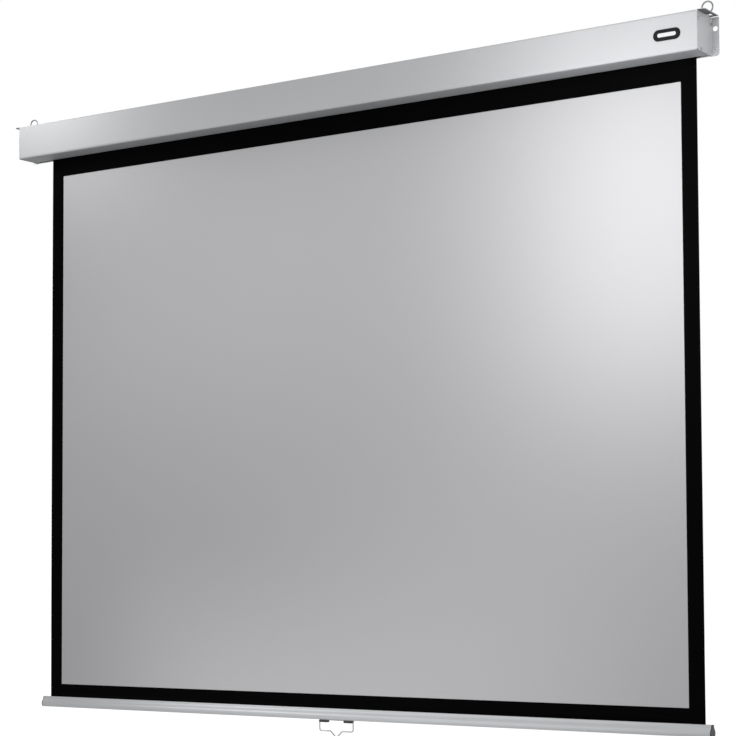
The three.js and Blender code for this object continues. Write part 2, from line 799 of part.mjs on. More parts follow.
function springPlace(turn) {
  const middleTurns = springTurns - 2 * springEndTurns;
  const middlePitch = (springLength - 2 * springEndTurns * springEndPitch) / middleTurns;
  const first = Math.min(turn, springEndTurns);
  const middle = Math.min(Math.max(turn - springEndTurns, 0), middleTurns);
  const last = Math.max(turn - springEndTurns - middleTurns, 0);
  return springStart + (first + last) * springEndPitch + middle * middlePitch;
}

function torsionSpring() {
  const rings = springTurns * springSteps;
  const sections = [];
  const index = [];
  for (let i = 0; i <= rings; i += 1) {
    const turn = i / springSteps;
    const angle = 2 * Math.PI * turn;
    const section = [];
    for (let k = 0; k < springSides; k += 1) {
      const side = 2 * Math.PI * k / springSides;
      const radius = springMean + springWireRadius * Math.cos(side);
      section.push(new THREE.Vector3(springPlace(turn) + springWireRadius * Math.sin(side),
        rollerY + radius * Math.cos(angle), rollerZ + radius * Math.sin(angle)));
    }
    sections.push(section);
  }
  for (let i = 0; i < rings; i += 1) {
    for (let k = 0; k < springSides; k += 1) {
      const here = i * springSides + k;
      const next = i * springSides + (k + 1) % springSides;
      index.push(here, here + springSides, next, next, here + springSides, next + springSides);
    }
  }
  const last = rings * springSides;
  for (let k = 1; k < springSides - 1; k += 1) {
    index.push(0, k, k + 1, last, last + k + 1, last + k);
  }
  const geometry = new THREE.BufferGeometry().setFromPoints(sections.flat());
  geometry.setIndex(index);
  geometry.computeVertexNormals();
  console.log(`torsion spring: least gap between turns ${leastTurnGap(sections, springSteps).toFixed(2)} mm`);
  return geometry;
}

add('torsion_spring', torsionSpring(), springSteel);

function drivePlug() {
  const end = driveFace + plugLength;
  const spigot = driveFace - springEndTurns * springEndPitch;
  const body = turned([
    [spigot, shaftRadius + runningGap],
    [spigot, anchorRadius],
    [driveFace, anchorRadius],
    [driveFace, plugRadius],
    [end, plugRadius],
    [end, shaftRadius + runningGap],
  ], rollerY, rollerZ);
  return cut(body, keyway(driveFace - overrun, end + overrun));
}

add('spring_drive_plug', drivePlug(), greyPlastic);

function shaftClip() {
  const inner = shaftRadius - clipGrooveDepth + seatGap;
  const shape = new THREE.Shape();
  shape.absarc(0, 0, clipRadius, -Math.PI / 2 + clipHalfMouth, 1.5 * Math.PI - clipHalfMouth);
  shape.absarc(0, 0, inner, 1.5 * Math.PI - clipHalfMouth, -Math.PI / 2 + clipHalfMouth, true);
  return alongX(shape, clipStart, clipStart + clipThickness, smallFacets).translate(0, rollerY, rollerZ);
}

add('shaft_clip', shaftClip(), springSteel);

// Lock: ratchet on the shaft, pawls on the housing that turns with the roller

const ratchetStart = cavityStart + 2 * seatGap;
const rampRise = ratchetRadius - notchFloor + overrun;

function ratchetWheel() {
  const end = ratchetStart + ratchetThickness;
  const wheel = rodX(ratchetRadius, ratchetStart, end, rollerY, rollerZ, fineFacets);
  const notch = new THREE.Shape();
  notch.moveTo(-notchWidth, notchFloor);
  notch.lineTo(-notchWidth + notchFlat, notchFloor);
  notch.lineTo(-notchWidth + notchFlat + rampRise * rampRunShare, notchFloor + rampRise);
  notch.lineTo(-notchWidth, notchFloor + rampRise);
  const tools = [0, Math.PI].map((turn) => alongX(notch, ratchetStart - overrun, end + overrun)
    .rotateX(turn).translate(0, rollerY, rollerZ));
  const bore = rodX(shaftRadius + seatGap, ratchetStart - overrun, end + overrun, 0, 0);
  const across = shaftFlat / 2 + seatGap;
  const flats = common(bore, block(ratchetStart - 2 * overrun, end + 2 * overrun, -across, across,
    -ratchetRadius, ratchetRadius)).translate(0, rollerY, rollerZ);
  return cut(wheel, ...tools, flats);
}

add('ratchet_wheel', ratchetWheel(), zincSteel);

// One pawl in its dropped place, drawn about the roller's axis
function pawlSection() {
  const tip = -notchWidth + 2 * seatGap;
  const floor = notchFloor + seatGap;
  const flat = -notchWidth + notchFlat - seatGap;
  const underside = ratchetRadius + 2 * seatGap;
  const shape = new THREE.Shape();
  shape.moveTo(tip, floor);
  shape.lineTo(flat, floor);
  shape.lineTo(flat + (underside - floor) * rampRunShare, underside);
  shape.lineTo(pawlPivotAcross, pawlPivotUp - pawlHubRadius);
  shape.absarc(pawlPivotAcross, pawlPivotUp, pawlHubRadius, -Math.PI / 2, Math.PI / 2);
  shape.lineTo(tip, floor + pawlTipHeight);
  const hole = new THREE.Path();
  hole.absarc(pawlPivotAcross, pawlPivotUp, crossPinRadius + runningGap, 0, 2 * Math.PI);
  shape.holes.push(hole);
  return shape;
}

const pawlStart = ratchetStart + (ratchetThickness - pawlThickness) / 2;
const dropped = alongX(pawlSection(), pawlStart, pawlStart + pawlThickness, 2 * bendFacets);
for (const [place, turn] of [['upper', 0], ['lower', Math.PI]]) {
  const thrown = dropped.clone()
    .translate(0, -pawlPivotAcross, -pawlPivotUp).rotateX(-pawlThrow)
    .translate(0, pawlPivotAcross, pawlPivotUp).rotateX(turn);
  const pawl = add(`lock_pawl_${place}`, thrown, zincSteel);
  pawl.position.set(0, rollerY, rollerZ);
  const pin = rodX(crossPinRadius, cavityStart + seatGap, discEnd, pawlPivotAcross, pawlPivotUp, smallFacets);
  const pinMesh = add(`pawl_pin_${place}`, pin.rotateX(turn), springSteel);
  pinMesh.position.set(0, rollerY, rollerZ);
}

const bushRadius = shaftRadius + runningGap + bushWall;
const barrelBore = (plugRadius + shaftRadius) / 2;

function lockHousing() {
  const body = turned([
    [lockFace, cavityRadius],
    [lockFace, housingRadius],
    [discEnd, housingRadius],
    [discEnd, plugRadius],
    [discEnd + plugLength, plugRadius],
    [discEnd + plugLength, barrelBore],
    [discEnd + housingBossRise, barrelBore],
    [discEnd + housingBossRise, bushRadius + seatGap],
    [discStart, bushRadius + seatGap],
    [discStart, cavityRadius],
  ], rollerY, rollerZ);
  const pinHoles = [1, -1].map((s) => rodX(crossPinRadius + seatGap,
    discStart - overrun, discEnd + housingBossRise + overrun,
    rollerY + s * pawlPivotAcross, rollerZ + s * pawlPivotUp, smallFacets));
  return cut(body, ...pinHoles, keyway(discEnd + seatGap, discEnd + plugLength + overrun));
}

add('lock_housing', lockHousing(), greyPlastic);
add('lock_cover', turned([
  [lockFace, shaftRadius + coverBoreGap],
  [lockFace, cavityRadius - seatGap],
  [lockFace + coverThickness, cavityRadius - seatGap],
  [lockFace + coverThickness, shaftRadius + coverBoreGap],
], rollerY, rollerZ), zincSteel);
add('lock_bush', turned([
  [discStart - seatGap - bushFlange, shaftRadius + runningGap],
  [discStart - seatGap - bushFlange, bushRadius + bushFlange],
  [discStart - seatGap, bushRadius + bushFlange],
  [discStart - seatGap, bushRadius],
  [discEnd + housingBossRise, bushRadius],
  [discEnd + housingBossRise, shaftRadius + runningGap],
], rollerY, rollerZ, midFacets), brass);

// Screen fabric: one sheet from the back of the roller down into the weight bar,
// with a pocket round the hem rod

const pocketZ = barTop - barChannelDrop;

function screenSheet() {
  const half = fabricThickness / 2;
  const opening = Math.asin(half / hemPocketRadius);
  const top = rollerZ - seatGap;
  const shape = new THREE.Shape();
  shape.moveTo(fabricY - half, top);
  shape.lineTo(fabricY - half, pocketZ + hemPocketRadius * Math.cos(opening));
  shape.absarc(fabricY, pocketZ, hemPocketRadius, Math.PI / 2 + opening, 2.5 * Math.PI - opening);
  shape.lineTo(fabricY + half, top);
  const pocket = new THREE.Path();
  pocket.absarc(fabricY, pocketZ, hemPocketRadius - fabricThickness, 0, 2 * Math.PI);
  shape.holes.push(pocket);
  return alongX(shape, fabricLeft, fabricRight, smallFacets);
}

add('screen_fabric', screenSheet(), screenFabricGrey);
add('hem_rod', rodX(hemRodRadius, fabricLeft, fabricRight, fabricY, pocketZ, smallFacets), zincSteel);

// Weight bar: a drop-shaped hollow profile with a channel for the hem

// The bar's outline, drawn in from its outside by an inset
function barOutline(inset) {
  const half = barDepth / 2 - inset;
  const top = barTopWidth / 2 - inset;
  const foot = barFootWidth / 2 - inset / 2;
  const high = barTop - inset;
  const low = barBottom + inset;
  const wide = barTop - barHeight * barWideShare;
  const shoulder = barTop - barHeight * barShoulderShare - inset;
  const neck = top + barWall;
  const flank = (shoulder + wide) / 2;
  const shape = new THREE.Shape();
  shape.moveTo(fabricY - top, high);
  for (const side of [-1, 1]) {
    const y = (distance) => fabricY + side * distance;
    if (side < 0) {
      shape.quadraticCurveTo(y(neck), high, y(neck), shoulder);
      shape.bezierCurveTo(y(neck), flank, y(half), flank, y(half), wide);
      shape.bezierCurveTo(y(half), (wide + low) / 2, y((half + foot) / 2), low, y(foot), low);
    } else {
      shape.lineTo(y(foot), low);
      shape.bezierCurveTo(y((half + foot) / 2), low, y(half), (wide + low) / 2, y(half), wide);
      shape.bezierCurveTo(y(half), flank, y(neck), flank, y(neck), shoulder);
      shape.quadraticCurveTo(y(neck), high, y(top), high);
    }
  }
  return shape;
}

function barCavity(start, end, inset) {
  const inner = alongX(barOutline(inset), start, end, 2 * bendFacets);
  const ceiling = pocketZ - barChannelRadius - inset;
  return common(inner, block(start, end, fabricY - barDepth, fabricY + barDepth, barBottom, ceiling));
}

const handlePlaces = [-1, 1].map((side) =>
  side * (handleHalfWidth - handleWireRadius - seatGap - clipBlockLength / 2));

function weightBar() {
  const body = alongX(barOutline(0), barLeft, barRight, 2 * bendFacets);
  const start = barLeft - overrun;
  const end = barRight + overrun;
  const channel = rodX(barChannelRadius, start, end, fabricY, pocketZ, smallFacets);
  const slot = block(start, end, fabricY - barSlot / 2, fabricY + barSlot / 2, pocketZ, barTop + overrun);
  const holes = handlePlaces.map((x) => rodZ(handleScrewRadius + seatGap, barBottom - overrun,
    barBottom + barWall + overrun, x, fabricY, smallFacets));
  return cut(body, barCavity(start, end, barWall), channel, slot, ...holes);
}

add('weight_bar', weightBar(), satinSilver);

function barCap(end, side) {
  const face = end + side * seatGap;
  const outside = face + side * capThickness;
  const tail = end - side * capPlugLength;
  const plate = alongX(barOutline(0), Math.min(face, outside), Math.max(face, outside), 2 * bendFacets);
  const plug = barCavity(Math.min(face, tail), Math.max(face, tail), barWall + seatGap);
  return join(plate, plug);
}

add('bar_end_cap_left', barCap(barLeft, -1), blackPlastic);
add('bar_end_cap_right', barCap(barRight, 1), blackPlastic);

// Handle: a base strip and two clips under the bar, and the bent wire that swings in them

const strapTop = barBottom - seatGap;
const clipTop = strapTop - strapThickness - seatGap;
const clipBottom = clipTop - clipBlockHeight;
const pivotZ = (clipTop + clipBottom) / 2;
const clipEnd = handleHalfWidth - handleWireRadius - seatGap;
const hookEnd = handlePlaces[1] + handleScrewHeadRadius + clipEndWall + 2 * seatGap;

function handleStrap() {
  const outline = roundedRectangle(-clipEnd, clipEnd, fabricY - strapWidth / 2, fabricY + strapWidth / 2,
    strapWidth / 4);
  const holes = handlePlaces.map((x) => rodZ(handleScrewRadius + seatGap, strapTop - strapThickness - overrun,
    strapTop + overrun, x, fabricY, smallFacets));
  return cut(upwards(outline, strapTop - strapThickness, strapThickness), ...holes);
}

add('handle_strap', handleStrap(), silverPaint);

function handleClip(x, side) {
  const half = clipBlockWidth / 2;
  const radius = clipBlockHeight / 2;
  const section = new THREE.Shape();
  section.moveTo(fabricY - half, clipTop);
  section.lineTo(fabricY - half, clipBottom + radius);
  section.quadraticCurveTo(fabricY - half, clipBottom, fabricY - half + radius, clipBottom);
  section.lineTo(fabricY + half - radius, clipBottom);
  section.quadraticCurveTo(fabricY + half, clipBottom, fabricY + half, clipBottom + radius);
  section.lineTo(fabricY + half, clipTop);
  const body = alongX(section, x - clipBlockLength / 2, x + clipBlockLength / 2);
  const mouth = x + side * (clipBlockLength / 2 + overrun);
  const floor = x + side * (handleScrewHeadRadius + seatGap + clipEndWall);
  const wireHole = rodX(handleWireRadius + runningGap, Math.min(mouth, floor), Math.max(mouth, floor),
    fabricY, pivotZ, smallFacets);
  const below = clipBottom - overrun;
  const shank = rodZ(handleScrewRadius + seatGap, below, clipTop + overrun, x, fabricY, smallFacets);
  const sink = rodZ(handleScrewHeadRadius + seatGap, below, clipBottom + handleScrewHeadHeight,
    x, fabricY, smallFacets);
  return cut(body, wireHole, shank, sink);
}

const handleScrew = panScrew(
  handleScrewRadius, handleScrewLength, handleScrewHeadRadius, handleScrewHeadHeight);
handlePlaces.forEach((x, i) => {
  const side = i === 0 ? 'left' : 'right';
  add(`handle_clip_${side}`, handleClip(x, i === 0 ? -1 : 1), blackPlastic);
  const screw = add(`handle_screw_${side}`, handleScrew, zincSteel);
  screw.rotation.y = Math.PI / 2;
  screw.position.set(x, fabricY, clipBottom + handleScrewHeadHeight);
});

// A round wire through corners in one upright plane, each corner [x, z, bend radius]
function bentWire(corners, y, radius) {
  const line = [];
  const unit = (from, to) => new THREE.Vector2(to[0] - from[0], to[1] - from[1]).normalize();
  corners.forEach((corner, i) => {
    const inward = i > 0 ? unit(corners[i - 1], corner) : unit(corner, corners[1]);
    const outward = i < corners.length - 1 ? unit(corner, corners[i + 1]) : inward;
    const turn = Math.atan2(inward.cross(outward), inward.dot(outward));
    const side = Math.sign(turn);
    const bend = corner[2];
    const setback = bend * Math.abs(Math.tan(turn / 2));
    const centreX = corner[0] - inward.x * setback - side * inward.y * bend;
    const centreZ = corner[1] - inward.y * setback + side * inward.x * bend;
    const steps = side === 0 ? 0 : Math.ceil(2 * bendFacets * Math.abs(turn) / Math.PI) + 1;
    for (let k = 0; k <= steps; k += 1) {
      const heading = Math.atan2(inward.y, inward.x) + (steps ? turn * k / steps : 0);
      line.push({
        x: centreX + side * Math.sin(heading) * bend,
        z: centreZ - side * Math.cos(heading) * bend,
        heading,
      });
    }
  });
  const positions = [];
  const index = [];
  for (const { x, z, heading } of line) {
    for (let k = 0; k < wireSides; k += 1) {
      const angle = 2 * Math.PI * k / wireSides;
      const across = radius * Math.cos(angle);
      positions.push(x - across * Math.sin(heading), y + radius * Math.sin(angle),
        z + across * Math.cos(heading));
    }
  }
  for (let i = 0; i < line.length - 1; i += 1) {
    for (let k = 0; k < wireSides; k += 1) {
      const here = i * wireSides + k;
      const next = i * wireSides + (k + 1) % wireSides;
      index.push(here, here + wireSides, next, next, here + wireSides, next + wireSides);
    }
  }
  const last = (line.length - 1) * wireSides;
  for (let k = 1; k < wireSides - 1; k += 1) {
    index.push(0, k, k + 1, last, last + k + 1, last + k);
  }
  const geometry = new THREE.BufferGeometry();
  geometry.setAttribute('position', new THREE.Float32BufferAttribute(positions, 3));
  geometry.setIndex(index);
  geometry.computeVertexNormals();
  return geometry;
}

function pullHandle() {
  const shoulderZ = pivotZ - handleLegLength;
  const right = [
    [hookEnd, pivotZ, 0],
    [handleHalfWidth, pivotZ, handleHookBend],
    [handleHalfWidth, shoulderZ, handleBendRadius],
    [handleShoulder, shoulderZ, handleBendRadius],
  ];
  const left = [...right].reverse().map(([x, z, bend]) => [-x, z, bend]);
  const nose = [0, shoulderZ - handleNoseDrop, handleNoseRadius];
  return bentWire([...right, nose, ...left], fabricY, handleWireRadius);
}

add('pull_handle', pullHandle(), brightWire);

// How far the bar and the roller move, for the joints: the roll grows by one thickness a turn as it winds up
const rollMean = woundOuter + fabricThickness * barTravel / (4 * Math.PI * woundOuter);
const halfTurns = Math.round(barTravel / (Math.PI * rollMean));
console.log(`bar travel ${barTravel.toFixed(2)} mm, ${(halfTurns / 2).toFixed(1)} roller turns`);
console.log(`roller axis y ${rollerY.toFixed(3)} z ${rollerZ.toFixed(3)}`);
console.log(`handle pivot z ${pivotZ.toFixed(3)}, pawl x ${pawlStart.toFixed(3)}`);
console.log(`ring pivot y ${earY.toFixed(3)} z ${ringLow.toFixed(3)}, bar top ${barTop.toFixed(3)}`);

export default screen;
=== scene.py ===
"""Visual model of a pull down projector screen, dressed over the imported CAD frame.

Lengths in the dataclasses are millimetres in the CAD frame: +X along the casing, +Y into the
wall, +Z up. Names that end in _m hold metres.
"""
import json
import logging
import math
from collections.abc import Iterable, Sequence
from dataclasses import astuple, dataclass, field
from enum import Enum

import bmesh
import bpy
from bpy.types import ID, Material, Mesh, Node, NodeSocket, NodeTree, Object, World
from mathutils import Matrix, Vector


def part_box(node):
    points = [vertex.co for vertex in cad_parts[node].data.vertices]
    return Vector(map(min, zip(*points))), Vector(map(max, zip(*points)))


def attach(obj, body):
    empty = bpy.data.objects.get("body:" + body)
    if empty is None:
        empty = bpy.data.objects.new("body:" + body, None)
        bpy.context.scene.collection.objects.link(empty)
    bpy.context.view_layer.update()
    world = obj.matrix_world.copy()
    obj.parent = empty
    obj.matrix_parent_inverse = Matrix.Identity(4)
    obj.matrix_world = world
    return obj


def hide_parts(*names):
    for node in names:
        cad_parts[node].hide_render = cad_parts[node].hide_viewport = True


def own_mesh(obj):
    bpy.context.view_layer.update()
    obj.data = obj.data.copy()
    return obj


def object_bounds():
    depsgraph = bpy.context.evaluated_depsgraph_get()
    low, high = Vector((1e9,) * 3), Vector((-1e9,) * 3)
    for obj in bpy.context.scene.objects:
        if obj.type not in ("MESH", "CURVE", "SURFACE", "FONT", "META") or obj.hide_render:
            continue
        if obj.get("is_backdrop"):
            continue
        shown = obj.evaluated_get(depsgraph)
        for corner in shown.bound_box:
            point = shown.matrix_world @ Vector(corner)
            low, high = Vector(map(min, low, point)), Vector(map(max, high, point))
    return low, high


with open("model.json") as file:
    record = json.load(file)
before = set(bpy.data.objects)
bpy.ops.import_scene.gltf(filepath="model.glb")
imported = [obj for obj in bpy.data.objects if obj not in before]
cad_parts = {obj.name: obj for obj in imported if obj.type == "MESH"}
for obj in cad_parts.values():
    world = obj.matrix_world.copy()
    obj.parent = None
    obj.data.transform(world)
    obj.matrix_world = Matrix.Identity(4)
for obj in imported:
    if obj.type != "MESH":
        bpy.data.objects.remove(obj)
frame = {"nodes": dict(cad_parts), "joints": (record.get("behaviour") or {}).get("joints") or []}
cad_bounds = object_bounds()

MM = 0.001
PHOTO_SIDE_PX = 736
Point2 = tuple[float, float]
Point3 = tuple[float, float, float]

# Sizes of the CAD source that its nodes' boxes don't give. The fabric hangs in the plane FABRIC_Y.
FABRIC_Y = -14.0
SIDE_BORDER = 42.5
BOTTOM_BORDER = 37.0
PICTURE_HEIGHT = 1500.0
FABRIC_THICKNESS = 0.5

# How meshes are cleaned and shaded, in millimetres and degrees.
MERGE_DISTANCE = 0.002
FLAT_FACET_ANGLE = 1.0
SMOOTH_ANGLE = 32.0
SOFT_SMOOTH_ANGLE = 40.0
WIRE_SMOOTH_ANGLE = 50.0
BEVEL_SEGMENTS = 2
BEVEL_ANGLE = 40.0
PROFILE_BEVEL_ANGLE = 60.0
# How strongly large faces pull the shading flat, from 0 to 100.
LARGE_FACE_WEIGHT = 100
# A face whose normal's height is below this counts as an underside, and gets painted shade where a
# shade finish is given.
FACES_DOWN = -0.5
# The least cosine that a strip's corner is mitred by, so that a sharp one makes no spike.
LEAST_MITRE_COSINE = 0.5

logging.basicConfig(level=logging.INFO, format="%(levelname)s %(message)s")
log = logging.getLogger("projector_screen")


class Body(Enum):
    """The CAD bodies that the pieces ride on."""

    CASING = "casing"
    ROLLER = "roller"
    BAR = "bar"
    HANDLE = "handle"
    RING_LEFT = "ring_left"
    RING_RIGHT = "ring_right"
    PAWL_UPPER = "pawl_upper"
    PAWL_LOWER = "pawl_lower"


class Slot(Enum):
    """The record's material slots."""

    ALUMINIUM = "satin_aluminium"
    PAINT = "silver_paint"
    ZINC = "zinc_steel"
    SPRING = "spring_steel"
    WIRE = "bright_wire"
    BRASS = "brass"
    BLACK_PLASTIC = "black_plastic"
    GREY_PLASTIC = "grey_plastic"
    BLACK_FABRIC = "black_fabric"
    SCREEN_GREY = "screen_grey"


class Pull(Enum):
    """The way a flat outline is pulled into a solid, and the plane it is drawn in."""

    ALONG_X = "outline in Y and Z"
    TO_FRONT = "outline in X and Z"


@dataclass(frozen=True)
class Span:
    """The box of a CAD node at rest, in millimetres."""

    low: Vector
    high: Vector

    @classmethod
    def of(cls, node: str) -> "Span":
        """Returns the box of one node."""
        low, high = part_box(node)
        return cls(Vector(low) / MM, Vector(high) / MM)

    @property
    def middle(self) -> Vector:
        """The middle of the box."""
        return (self.low + self.high) / 2

    @property
    def half(self) -> Vector:
        """Half its length, depth and height."""
        return (self.high - self.low) / 2


def joint(name: str) -> dict:
    """Returns the record's entry for one joint."""
    return next(entry for entry in frame["joints"] if entry["name"] == name)


def box_of(node: str) -> Span:
    """Declares a dataclass field that holds the box of one node."""
    return field(default_factory=lambda: Span.of(node))


def pivot_of(name: str) -> Vector:
    """Declares a dataclass field that holds the place of one hinge in millimetres."""
    return field(default_factory=lambda: Vector(joint(name)["pos_m"]) / MM)


def linear(colour: str) -> tuple[float, float, float, float]:
    """Turns an sRGB hex colour into linear RGBA.

    Args:
        colour: six hex digits, with or without a leading #.

    Returns:
        Red, green, blue and an alpha of 1.
    """
    parts = [part / 255 for part in bytes.fromhex(colour.lstrip("#"))]
    # The sRGB curve: a straight foot below 0.04045, a power of 2.4 above it.
    red, green, blue = [p / 12.92 if p <= 0.04045 else ((p + 0.055) / 1.055) ** 2.4 for p in parts]
    return red, green, blue, 1.0


def add_node(tree: NodeTree, kind: str, feeds: dict | None = None,
             **settings: object) -> Node:
    """Adds one node to a shader or geometry tree.

    Args:
        tree: the tree that gets the node.
        kind: the node's type name.
        feeds: input name or index, with a value, a socket, or a node whose first output feeds it.
        settings: the node's own properties.

    Returns:
        The new node.
    """
    node = tree.nodes.new(kind)
    for name, value in settings.items():
        setattr(node, name, value)
    for name, value in (feeds or {}).items():
        value = value.outputs[0] if isinstance(value, Node) else value
        if isinstance(value, NodeSocket):
            tree.links.new(value, node.inputs[name])
        else:
            node.inputs[name].default_value = value
    return node


def fresh_tree(owner: Material | World) -> NodeTree:
    """Gives a material or a world an empty node tree.

    Args:
        owner: the material or world.

    Returns:
        Its tree.
    """
    owner.use_nodes = True
    owner.node_tree.nodes.clear()
    return owner.node_tree


@dataclass(frozen=True)
class Finish:
    """A surface: one Principled shader with a colour change, a roughness change and a bump.

    The grain is a noise on Object coordinates, with its real size along X, Y and Z.
    """

    name: str
    colour: str
    worn_colour: str
    roughness: float
    metallic: float
    grain_mm: Point3
    roughness_spread: float = 0.06
    bump_mm: float = 0.02
    cloud_mm: float = 180.0
    sheen: float = 0.0
    specular: float = 0.5

    def material(self) -> Material:
        """Builds the material at its first use.

        Returns:
            The material.
        """
        made = bpy.data.materials.get(self.name)
        if made:
            return made
        made = bpy.data.materials.new(self.name)
        tree = fresh_tree(made)
        place = add_node(tree, "ShaderNodeTexCoord").outputs["Object"]
        stretched = add_node(tree, "ShaderNodeMapping", {
            "Vector": place, "Scale": [1 / (size * MM) for size in self.grain_mm]})
        grain = add_node(tree, "ShaderNodeTexNoise", {
            "Vector": stretched, "Scale": 1.0, "Detail": 3.0})
        cloud = add_node(tree, "ShaderNodeTexNoise", {
            "Vector": place, "Scale": 1 / (self.cloud_mm * MM), "Detail": 2.0})
        # Inputs 6 and 7 and output 2 of a Mix node are its two colours and its result as a colour.
        colour = add_node(tree, "ShaderNodeMix", {
            0: cloud, 6: linear(self.colour), 7: linear(self.worn_colour)}, data_type="RGBA")
        rough = add_node(tree, "ShaderNodeMapRange", {
            "Value": grain, "To Min": self.roughness - self.roughness_spread,
            "To Max": self.roughness + self.roughness_spread})
        bump = add_node(tree, "ShaderNodeBump", {
            "Height": grain, "Distance": self.bump_mm * MM, "Strength": 1.0})
        shader = add_node(tree, "ShaderNodeBsdfPrincipled", {
            "Base Color": colour.outputs[2], "Roughness": rough, "Normal": bump,
            "Metallic": self.metallic, "Sheen Weight": self.sheen,
            "Specular IOR Level": self.specular})
        add_node(tree, "ShaderNodeOutputMaterial", {"Surface": shader})
        return made


# Grains of profiles, powder coat, vinyl, drawn wire, and mouldings or sintered metal.
DIE_LINES = (90.0, 1.6, 1.6)
ORANGE_PEEL = (1.2, 1.2, 1.2)
EMBOSS = (1.6, 1.6, 1.6)
DRAWN = (4.0, 4.0, 4.0)
FINE = (0.8, 0.8, 0.8)

# Extruded aluminium under a thin silver coat, nearly matt, with faint die lines along the profile.
SILVER_COATED_ALUMINIUM = Finish(
    "silver_coated_aluminium", "#b1b2b4", "#b5b6b8", 0.5, 0.05, DIE_LINES, bump_mm=0.012,
    specular=0.2)
# Painted shade on the casing's underside: the same profile's downward faces in a duller, darker
# grey that stands in for the shade falling there.
UNDERSIDE_PAINTED_SHADE = Finish(
    "underside_painted_shade", "#8e9092", "#949698", 0.62, 0.05, DIE_LINES, bump_mm=0.012, specular=0.2)
# Dark grey steel: painted shade on the brackets' downward faces, and the handle strap's plain
# colour.
DARK_STEEL_AND_PAINTED_SHADE = Finish(
    "dark_steel_and_painted_shade", "#5d5f61", "#66686a", 0.6, 0.1, ORANGE_PEEL, bump_mm=0.03, specular=0.2)
# Extruded aluminium with a satin anodised skin, as the bar and the roller tube have.
ANODISED_ALUMINIUM = Finish(
    "anodised_aluminium", "#b0b2b4", "#b5b7b9", 0.45, 0.35, DIE_LINES, bump_mm=0.012)
# Stamped steel with silver powder coat: a fine orange peel that blurs what it reflects.
SILVER_POWDER_COAT = Finish(
    "silver_powder_coat", "#b2b4b6", "#b8babc", 0.52, 0.25, ORANGE_PEEL, bump_mm=0.03)
# Zinc plated steel: cool and slightly cloudy.
ZINC_PLATE = Finish("zinc_plate", "#a9acae", "#9b9ea2", 0.34, 1.0, (2.0, 2.0, 2.0), cloud_mm=12.0)
# Oiled spring steel: dark, with streaks drawn along the wire.
OILED_SPRING_STEEL = Finish(
    "oiled_spring_steel", "#6a6d70", "#55585a", 0.36, 1.0, (3.0, 1.0, 1.0), cloud_mm=20.0)
# Zinc plated drawn wire of the rings: mid grey, so that it reads against a white wall.
DRAWN_WIRE = Finish("drawn_wire", "#85888a", "#77797c", 0.3, 1.0, DRAWN, 0.04, 0.005, 15.0)
# Nickel plated wire of the bail: lighter, with hardly any texture.
BAIL_WIRE = Finish("bail_wire_nickel", "#9fa1a3", "#939597", 0.28, 1.0, DRAWN, 0.04, 0.005, 15.0)
# Sintered brass bush.
SINTERED_BRASS = Finish("sintered_brass", "#b2904e", "#a5834a", 0.42, 1.0, FINE, cloud_mm=8.0)
# Moulded ABS, black: a spark eroded grain of about half a millimetre.
BLACK_ABS = Finish(
    "black_abs", "#141517", "#1b1c1e", 0.46, 0.0, (0.6, 0.6, 0.6), bump_mm=0.03, cloud_mm=30.0)
# Moulded acetal, grey, as plugs and lock parts are.
GREY_ACETAL = Finish("grey_acetal", "#8b8e90", "#939698", 0.44, 0.0, FINE, cloud_mm=30.0)
# Grey projection coating with a soft sheen. Its emboss is drawn coarser than the real 0.4 mm.
GREY_PROJECTION_COAT = Finish(
    "grey_projection_coat", "#b1b1b3", "#b3b3b5", 0.55, 0.0, EMBOSS, 0.05, 0.02, 400.0, sheen=0.1)
# Matt black masking ink round the picture: it gives back almost no light.
BLACK_MASK_INK = Finish("black_mask_ink", "#030303", "#050505", 0.85, 0.0, EMBOSS, specular=0.02)
# Black opaque backing of the sheet: woven glass under vinyl.
BLACK_BACKING = Finish(
    "black_backing", "#101011", "#151516", 0.7, 0.0, (1.0, 1.0, 1.0), bump_mm=0.04)
# Dark enamel on the name plate's rim.
DARK_ENAMEL = Finish(
    "dark_enamel", "#0c0d0e", "#111214", 0.4, 0.0, (1.0, 1.0, 1.0), bump_mm=0.005, specular=0.12)
# The plate's bare field: white lacquered metal, left without any lettering.
BARE_FIELD = Finish("bare_field", "#c6c7c9", "#c2c3c5", 0.4, 0.0, (8.0, 0.5, 0.5), bump_mm=0.008)


def finished_mesh(holder: Object) -> Mesh:
    """Applies an object's modifiers and removes the object.

    Args:
        holder: the object.

    Returns:
        Its mesh as it was shown.
    """
    bpy.context.view_layer.update()
    evaluated = holder.evaluated_get(bpy.context.evaluated_depsgraph_get())
    mesh = bpy.data.meshes.new_from_object(evaluated)
    bpy.data.objects.remove(holder)
    return mesh


def linked(name: str, data: ID) -> Object:
    """Makes an object and links it to the scene.

    Args:
        name: the object's name.
        data: its mesh, curve, lamp or camera.

    Returns:
        The object.
    """
    made = bpy.data.objects.new(name, data)
    bpy.context.scene.collection.objects.link(made)
    return made


def modified(mesh: Mesh, kind: str, inputs: Iterable[tuple[str, object]] = (),
             **settings: object) -> Mesh:
    """Applies one modifier to a mesh.

    Args:
        mesh: the mesh.
        kind: the modifier's type name.
        inputs: the values of a node tree's inputs.
        settings: the modifier's own properties.

    Returns:
        The changed mesh.
    """
    holder = linked("modified", mesh)
    modifier = holder.modifiers.new(kind, kind)
    for name, value in settings.items():
        setattr(modifier, name, value)
    for name, value in inputs:
        modifier[name] = value
    return finished_mesh(holder)


def smooth_by_angle(mesh: Mesh, degrees: float = SMOOTH_ANGLE) -> None:
    """Shades a mesh smooth, apart from edges sharper than the angle."""
    mesh.shade_smooth()
    mesh.set_sharp_from_angle(angle=math.radians(degrees))


